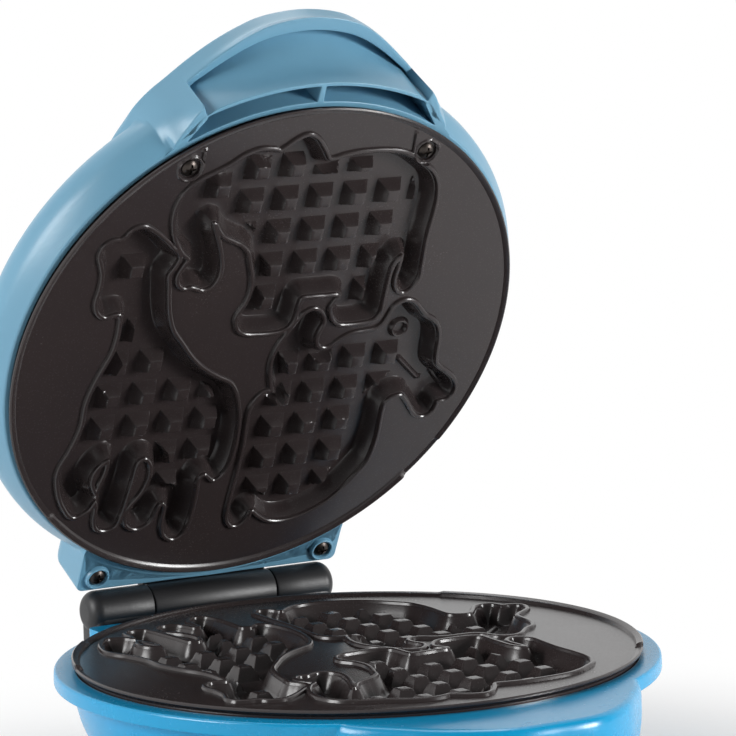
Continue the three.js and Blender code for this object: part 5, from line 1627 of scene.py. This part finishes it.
@dataclass
class SmallRounds:
    """Round pieces on the outside: rubber feet, lamp lenses and the cord gland."""

    foot: tuple[Pair, ...] = (
        (0, 47.8), (6.6, 47.8), (6.8, 48.0), (8.0, 50.2), (8.0, 53.6), (7.7, 54.5), (7.0, 55.0), (3.6, 55.0),
        (3.2, 54.7), (2.6, 53.9), (0, 53.8))
    foot_place: float = 47.0
    lens: tuple[Pair, ...] = (
        (0, 21.8), (3.8, 21.8), (4.3, 22.1), (4.4, 22.6), (4.4, 29.2), (4.2, 29.7), (3.6, 30.0), (2.4, 30.25),
        (1.2, 30.37), (0, 30.4))
    lens_place: Pair = (9.0, -60.0)
    gland: tuple[Pair, ...] = (
        (3.6, 80.0), (6.2, 80.0), (6.2, 92.9), (8.2, 92.9), (8.5, 93.2), (8.5, 94.1), (8.2, 94.5), (6.6, 94.6),
        (6.2, 94.9), (5.7, 95.7), (5.2, 95.8), (4.4, 95.8), (3.9, 95.5), (3.6, 95.0))

    def build(self) -> None:
        """Builds and dresses the feet, the lenses and the gland."""
        for side, across in ((-1, "left"), (1, "right")):
            for back, along in ((-1, "front"), (1, "back")):
                rows = turned(self.foot) + (side * self.foot_place, back * self.foot_place, 0)
                name = f"foot_{along}_{across}"
                finish_piece(name + "_rubber", sections_draft(rows, True), Half.BASE, [name])
        for side, name in ((-1, "power_lens"), (1, "ready_lens")):
            rows = turned(self.lens, 48) + (side * self.lens_place[0], self.lens_place[1], 0)
            finish_piece(name + "_cap", sections_draft(rows, True), Half.LID, [name])
        rows = turned(self.gland)
        placed = np.stack([rows[..., 0], rows[..., 2], rows[..., 1] + GLAND_DEPTH], -1)
        finish_piece("cord_gland_moulding", sections_draft(placed, False), Half.BASE, ["cord_gland"])


@dataclass(frozen=True)
class ScrewSeat:
    """Where one screw's head sits: under which node's name, on which place, facing which way, how long its shank."""

    node: str
    place: tuple[float, float, float]
    outward: tuple[float, float, float]
    length: float


SCREW_SEATS_BY_HALF = {
    Half.LID: (
        ScrewSeat("upper_plate_screw_left", (*SEATS.places[0], SEATS.well_depth), (0, 0, -1), 11.8),
        ScrewSeat("upper_plate_screw_right", (*SEATS.places[1], SEATS.well_depth), (0, 0, -1), 11.8),
        ScrewSeat("tail_screw_left", (-TAIL_SCREW[0], TAIL_SCREW[1], 3.6), (0, 0, -1), 12.7),
        ScrewSeat("tail_screw_right", (*TAIL_SCREW, 3.6), (0, 0, -1), 12.7),
    ),
    Half.BASE: (
        ScrewSeat("cover_screw_front", (0, -68, 50.3), (0, 0, 1), 10.0),
        ScrewSeat("cover_screw_back", (0, 68, 50.3), (0, 0, 1), 10.0),
        ScrewSeat("cover_screw_left", (-68, 0, 50.3), (0, 0, 1), 10.0),
        ScrewSeat("cover_screw_right", (68, 0, 50.3), (0, 0, 1), 10.0),
        ScrewSeat("hinge_post_screw_left", (-37.4, 107.1, 17), (0, 1, 0), 22.0),
        ScrewSeat("hinge_post_screw_right", (37.4, 107.1, 17), (0, 1, 0), 22.0),
    ),
}


@dataclass
class Screws:
    """Pan-head cross-recess screws, set by Geometry Nodes on points that carry a direction and a length.

    The head is a cylinder cut to a ball's crown, and the recess is two slots and a cone cut out of it.
    """

    head_radius: float = 3.0
    head_height: float = 1.9
    crown_share: float = 1.35
    shank_radius: float = 1.45
    recess_width: float = 0.75
    recess_length: float = 3.7
    recess_depth: float = 1.15
    cone_top: float = 0.95
    cone_bottom: float = 0.3
    cone_height: float = 1.5
    cone_sunk: float = 1.45

    def tree(self) -> bpy.types.NodeTree:
        """Builds the node tree that puts a screw on each point.

        Returns:
            The tree.
        """
        made = bpy.data.node_groups.new("set_pan_head_screws", "GeometryNodeTree")
        face = made.interface
        for name, kind in (("Geometry", "Geometry"), ("Head Radius", "Float"), ("Head Height", "Float"),
                           ("Shank Radius", "Float"), ("Finish", "Material")):
            face.new_socket(name=name, in_out="INPUT", socket_type="NodeSocket" + kind)
        face.new_socket(name="Geometry", in_out="OUTPUT", socket_type="NodeSocketGeometry")
        given = add_node(made, "NodeGroupInput").outputs
        radius, height = given["Head Radius"], given["Head Height"]

        def maths(operation: str, a: object, b: object) -> bpy.types.NodeSocket:
            """Adds a sum, product or the like of two values."""
            return add_node(made, "ShaderNodeMath", {0: a, 1: b}, operation=operation).outputs[0]

        def raised(mesh: bpy.types.NodeSocket, z: object, turn: float = 0.0) -> bpy.types.NodeSocket:
            """Moves a mesh up and turns it about its axis."""
            up = add_node(made, "ShaderNodeCombineXYZ", {"Z": z}).outputs[0]
            return add_node(made, "GeometryNodeTransform", {
                "Geometry": mesh, "Translation": up, "Rotation": (0.0, 0.0, turn)}).outputs[0]

        barrel = add_node(made, "GeometryNodeMeshCylinder", {
            "Vertices": 48, "Radius": radius, "Depth": height}).outputs["Mesh"]
        crown = maths("MULTIPLY", radius, self.crown_share)
        ball = add_node(made, "GeometryNodeMeshUVSphere", {
            "Segments": 48, "Rings": 48, "Radius": crown}).outputs["Mesh"]
        head = add_node(made, "GeometryNodeMeshBoolean", operation="INTERSECT", solver="EXACT")
        made.links.new(raised(barrel, maths("MULTIPLY", height, 0.5)), head.inputs["Mesh 2"])
        made.links.new(raised(ball, maths("SUBTRACT", height, crown)), head.inputs["Mesh 2"])
        cut = add_node(made, "GeometryNodeMeshBoolean", {"Mesh 1": head.outputs["Mesh"]}, operation="DIFFERENCE",
                       solver="EXACT")
        for turn in (0.0, math.pi / 2):
            slot = add_node(made, "GeometryNodeMeshCube", {
                "Size": tuple(v * MM for v in (self.recess_width, self.recess_length, 2 * self.recess_depth))})
            made.links.new(raised(slot.outputs["Mesh"], height, turn), cut.inputs["Mesh 2"])
        point = add_node(made, "GeometryNodeMeshCone", {
            "Vertices": 24, "Radius Top": self.cone_top * MM, "Radius Bottom": self.cone_bottom * MM,
            "Depth": self.cone_height * MM})
        sunk = maths("SUBTRACT", height, self.cone_sunk * MM)
        made.links.new(raised(point.outputs["Mesh"], sunk), cut.inputs["Mesh 2"])
        shank = raised(add_node(made, "GeometryNodeMeshCylinder", {
            "Vertices": 32, "Radius": given["Shank Radius"], "Depth": 1.0}).outputs["Mesh"], -0.5)

        outward = add_node(made, "GeometryNodeInputNamedAttribute", {"Name": "outward"}, data_type="FLOAT_VECTOR")
        length = add_node(made, "GeometryNodeInputNamedAttribute", {"Name": "length"}, data_type="FLOAT")
        facing = add_node(made, "FunctionNodeAlignRotationToVector", {"Vector": outward.outputs["Attribute"]},
                          axis="Z").outputs["Rotation"]
        stretch = add_node(made, "ShaderNodeCombineXYZ", {
            "X": 1.0, "Y": 1.0, "Z": length.outputs["Attribute"]}).outputs[0]
        both = add_node(made, "GeometryNodeJoinGeometry")
        for mesh, scale in ((cut.outputs["Mesh"], (1.0, 1.0, 1.0)), (shank, stretch)):
            placed = add_node(made, "GeometryNodeInstanceOnPoints", {
                "Points": given["Geometry"], "Instance": mesh, "Rotation": facing, "Scale": scale})
            made.links.new(placed.outputs["Instances"], both.inputs["Geometry"])
        real = add_node(made, "GeometryNodeRealizeInstances", {"Geometry": both.outputs["Geometry"]})
        painted = add_node(made, "GeometryNodeSetMaterial", {
            "Geometry": real.outputs["Geometry"], "Material": given["Finish"]})
        add_node(made, "NodeGroupOutput", {"Geometry": painted.outputs["Geometry"]})
        return made

    def build(self) -> None:
        """Sets the screws of each half and turns them into one mesh per half."""
        tree = self.tree()
        names = {item.name: item.identifier for item in tree.interface.items_tree if item.in_out == "INPUT"}
        for half, seats in SCREW_SEATS_BY_HALF.items():
            places = POSE.place(np.array([seat.place for seat in seats], float), half) * MM
            mesh = bpy.data.meshes.new(half.value + "_screw_points")
            mesh.from_pydata(places.tolist(), [], [])
            outward = mesh.attributes.new("outward", "FLOAT_VECTOR", "POINT")
            outward.data.foreach_set("vector", [v for seat in seats for v in POSE.direction(seat.outward, half)])
            length = mesh.attributes.new("length", "FLOAT", "POINT")
            length.data.foreach_set("value", [seat.length * MM for seat in seats])
            holder = link_object(mesh.name, mesh)
            modifier = holder.modifiers.new("screws", "NODES")
            modifier.node_group = tree
            modifier[names["Head Radius"]] = self.head_radius * MM
            modifier[names["Head Height"]] = self.head_height * MM
            modifier[names["Shank Radius"]] = self.shank_radius * MM
            modifier[names["Finish"]] = SCREW_STEEL.material()
            bpy.context.view_layer.update()
            graph = bpy.context.evaluated_depsgraph_get()
            made = bpy.data.meshes.new_from_object(holder.evaluated_get(graph))
            bpy.data.objects.remove(holder)
            made.name = half.value + "_screws"
            finish_mesh(made.name, made, half, [seat.node for seat in seats], 30.0)


@dataclass(frozen=True)
class Lamp:
    """A soft square lamp that faces the object: where it hangs and its side, in metres, and its power in watts."""

    name: str
    place: tuple[float, float, float]
    side: float
    watts: float


@dataclass
class Studio:
    """The floor, the lamps, the world and the camera, which stands as in a fit to both plates' rims in the photo."""

    azimuth: float = math.radians(-29.673996)
    elevation: float = math.radians(11.742797)
    distance: float = 1340.291 * MM
    pan: float = math.radians(-0.261418)
    tilt: float = math.radians(3.964291)
    roll: float = math.radians(-1.557665)
    lens: float = 195.65
    aim_height: float = 0.1
    floor_radius: float = 4.0
    clear_radius: float = 0.1
    fade_radius: float = 0.26
    world_light: float = 0.38
    room_light: float = 0.2
    room_edge: float = 0.35
    floor_colours: tuple[str, str] = ("FBFBFB", "F7F7F7")
    lamps: tuple[Lamp, ...] = (
        Lamp("key_lamp", (1.2, -1.3, 0.3), 0.5, 31.0), Lamp("side_lamp", (-1.7, 0.1, 0.75), 0.8, 24.0),
        Lamp("top_lamp", (0.3, 1.0, 1.8), 1.2, 15.0))

    def camera(self) -> None:
        """Puts the camera where the photograph was taken from."""
        aim = Vector(POSE.place(np.zeros((1, 3)), Half.BASE)[0]) * MM
        cos = math.cos(self.elevation)
        back = Vector((math.sin(self.azimuth) * cos, -math.cos(self.azimuth) * cos, math.sin(self.elevation)))
        across = Vector((0.0, 0.0, 1.0)).cross(back).normalized()
        turn = Matrix((across, back.cross(across), back)).transposed()
        for angle, axis in ((self.pan, "Y"), (self.tilt, "X"), (self.roll, "Z")):
            turn = turn @ Matrix.Rotation(angle, 3, axis)
        made = link_object("photograph_camera", bpy.data.cameras.new("photograph_camera"))
        made.data.lens = self.lens
        made.data.sensor_width = 36.0
        made.data.clip_end = 20.0
        made.matrix_world = Matrix.Translation(aim + back * self.distance) @ turn.to_4x4()
        bpy.context.scene.camera = made

    def hang(self, lamp: Lamp) -> None:
        """Hangs one lamp.

        Args:
            lamp: Its name, place, side and power.
        """
        light = bpy.data.lights.new(lamp.name, "AREA")
        light.size = lamp.side
        light.energy = lamp.watts
        made = link_object(lamp.name, light)
        made.location = lamp.place
        away = Vector(lamp.place) - Vector((0.0, 0.0, self.aim_height))
        made.rotation_euler = away.to_track_quat("Z", "Y").to_euler()

    def white_behind(self, tree: bpy.types.NodeTree) -> bpy.types.NodeSocket:
        """One for rays from the camera, mirrors and glass, which see a white background.

        Args:
            tree: The world's node tree.

        Returns:
            The socket that says 1 or 0.
        """
        path = add_node(tree, "ShaderNodeLightPath")
        seen = add_node(tree, "ShaderNodeMath",
                        {0: path.outputs["Is Camera Ray"], 1: path.outputs["Is Glossy Ray"]},
                        operation="MAXIMUM").outputs[0]
        return add_node(tree, "ShaderNodeMath", {0: seen, 1: path.outputs["Is Transmission Ray"]},
                        operation="MAXIMUM").outputs[0]

    def world(self) -> None:
        """Shows white behind the object, and lights it softly from a bright backdrop in a darker room."""
        world = bpy.data.worlds.new("studio_world")
        bpy.context.scene.world = world
        world.use_nodes = True
        tree = world.node_tree
        tree.nodes.clear()
        along = add_node(tree, "ShaderNodeSeparateXYZ", {
            "Vector": add_node(tree, "ShaderNodeTexCoord").outputs["Generated"]}).outputs["Y"]
        room = add_node(tree, "ShaderNodeMapRange", {
            "Value": along, "From Min": -self.room_edge, "From Max": self.room_edge, "To Min": self.room_light,
            "To Max": 1.0},
            interpolation_type="SMOOTHSTEP").outputs["Result"]
        path = add_node(tree, "ShaderNodeLightPath")
        diffuse = add_node(tree, "ShaderNodeMath", {0: room, 1: self.world_light}, operation="MULTIPLY").outputs[0]
        shown = add_node(tree, "ShaderNodeMix", {0: path.outputs["Is Camera Ray"], 2: room, 3: 1.0}).outputs[0]
        strength = add_node(tree, "ShaderNodeMix", {0: self.white_behind(tree), 2: diffuse, 3: shown}).outputs[0]
        shade = add_node(tree, "ShaderNodeBackground", {"Color": (1.0, 1.0, 1.0, 1.0), "Strength": strength})
        add_node(tree, "ShaderNodeOutputWorld", {"Surface": shade.outputs["Background"]})

    def floor(self) -> None:
        """Lays a pale floor that keeps the object's shadow and fades into the white background."""
        count = 64
        ring = np.column_stack([circle(count), np.zeros(count)]) * self.floor_radius
        mesh = bpy.data.meshes.new("studio_floor")
        mesh.from_pydata(ring.tolist(), [], [tuple(range(count))])
        floor = link_object(mesh.name, mesh)
        paint = bpy.data.materials.new("matt_white_paint")
        paint.use_nodes = True
        tree = paint.node_tree
        tree.nodes.clear()
        place = add_node(tree, "ShaderNodeTexCoord").outputs["Object"]
        away = add_node(tree, "ShaderNodeVectorMath", {0: place}, operation="LENGTH").outputs["Value"]
        fade = add_node(tree, "ShaderNodeMapRange",
                        {"Value": away, "From Min": self.clear_radius, "From Max": self.fade_radius},
                        interpolation_type="SMOOTHSTEP").outputs["Result"]
        grain = add_node(tree, "ShaderNodeTexNoise", {"Vector": place, "Scale": per_metre(4.0)}).outputs["Fac"]
        pale, paler = map(srgb, self.floor_colours)
        tone = add_node(tree, "ShaderNodeMix", {MIX_FACTOR: grain, MIX_A: pale, MIX_B: paler},
                        data_type="RGBA").outputs[MIX_RESULT]
        lit = add_node(tree, "ShaderNodeBsdfDiffuse", {"Color": tone}).outputs["BSDF"]
        glow = add_node(tree, "ShaderNodeEmission").outputs["Emission"]
        shown = add_node(tree, "ShaderNodeMath", {0: fade, 1: self.white_behind(tree)},
                         operation="MULTIPLY").outputs[0]
        mixed = add_node(tree, "ShaderNodeMixShader", {0: shown, 1: lit, 2: glow}).outputs["Shader"]
        add_node(tree, "ShaderNodeOutputMaterial", {"Surface": mixed})
        mesh.materials.append(paint)

    def build(self) -> None:
        """Sets up the whole studio."""
        self.camera()
        self.world()
        self.floor()
        for lamp in self.lamps:
            self.hang(lamp)
        bpy.context.scene.view_settings.view_transform = "Standard"


def main() -> None:
    """Builds every sub-assembly in order."""
    logging.basicConfig(level=logging.INFO, format="%(message)s")
    Studio().build()
    CastPlates().build()
    LidShell().build()
    BaseShell().build()
    Hinge().build()
    SmallRounds().build()
    Screws().build()
    dress_carried([name for name, node in frame["nodes"].items() if not node.hide_render])


if __name__ == "__main__":
    main()
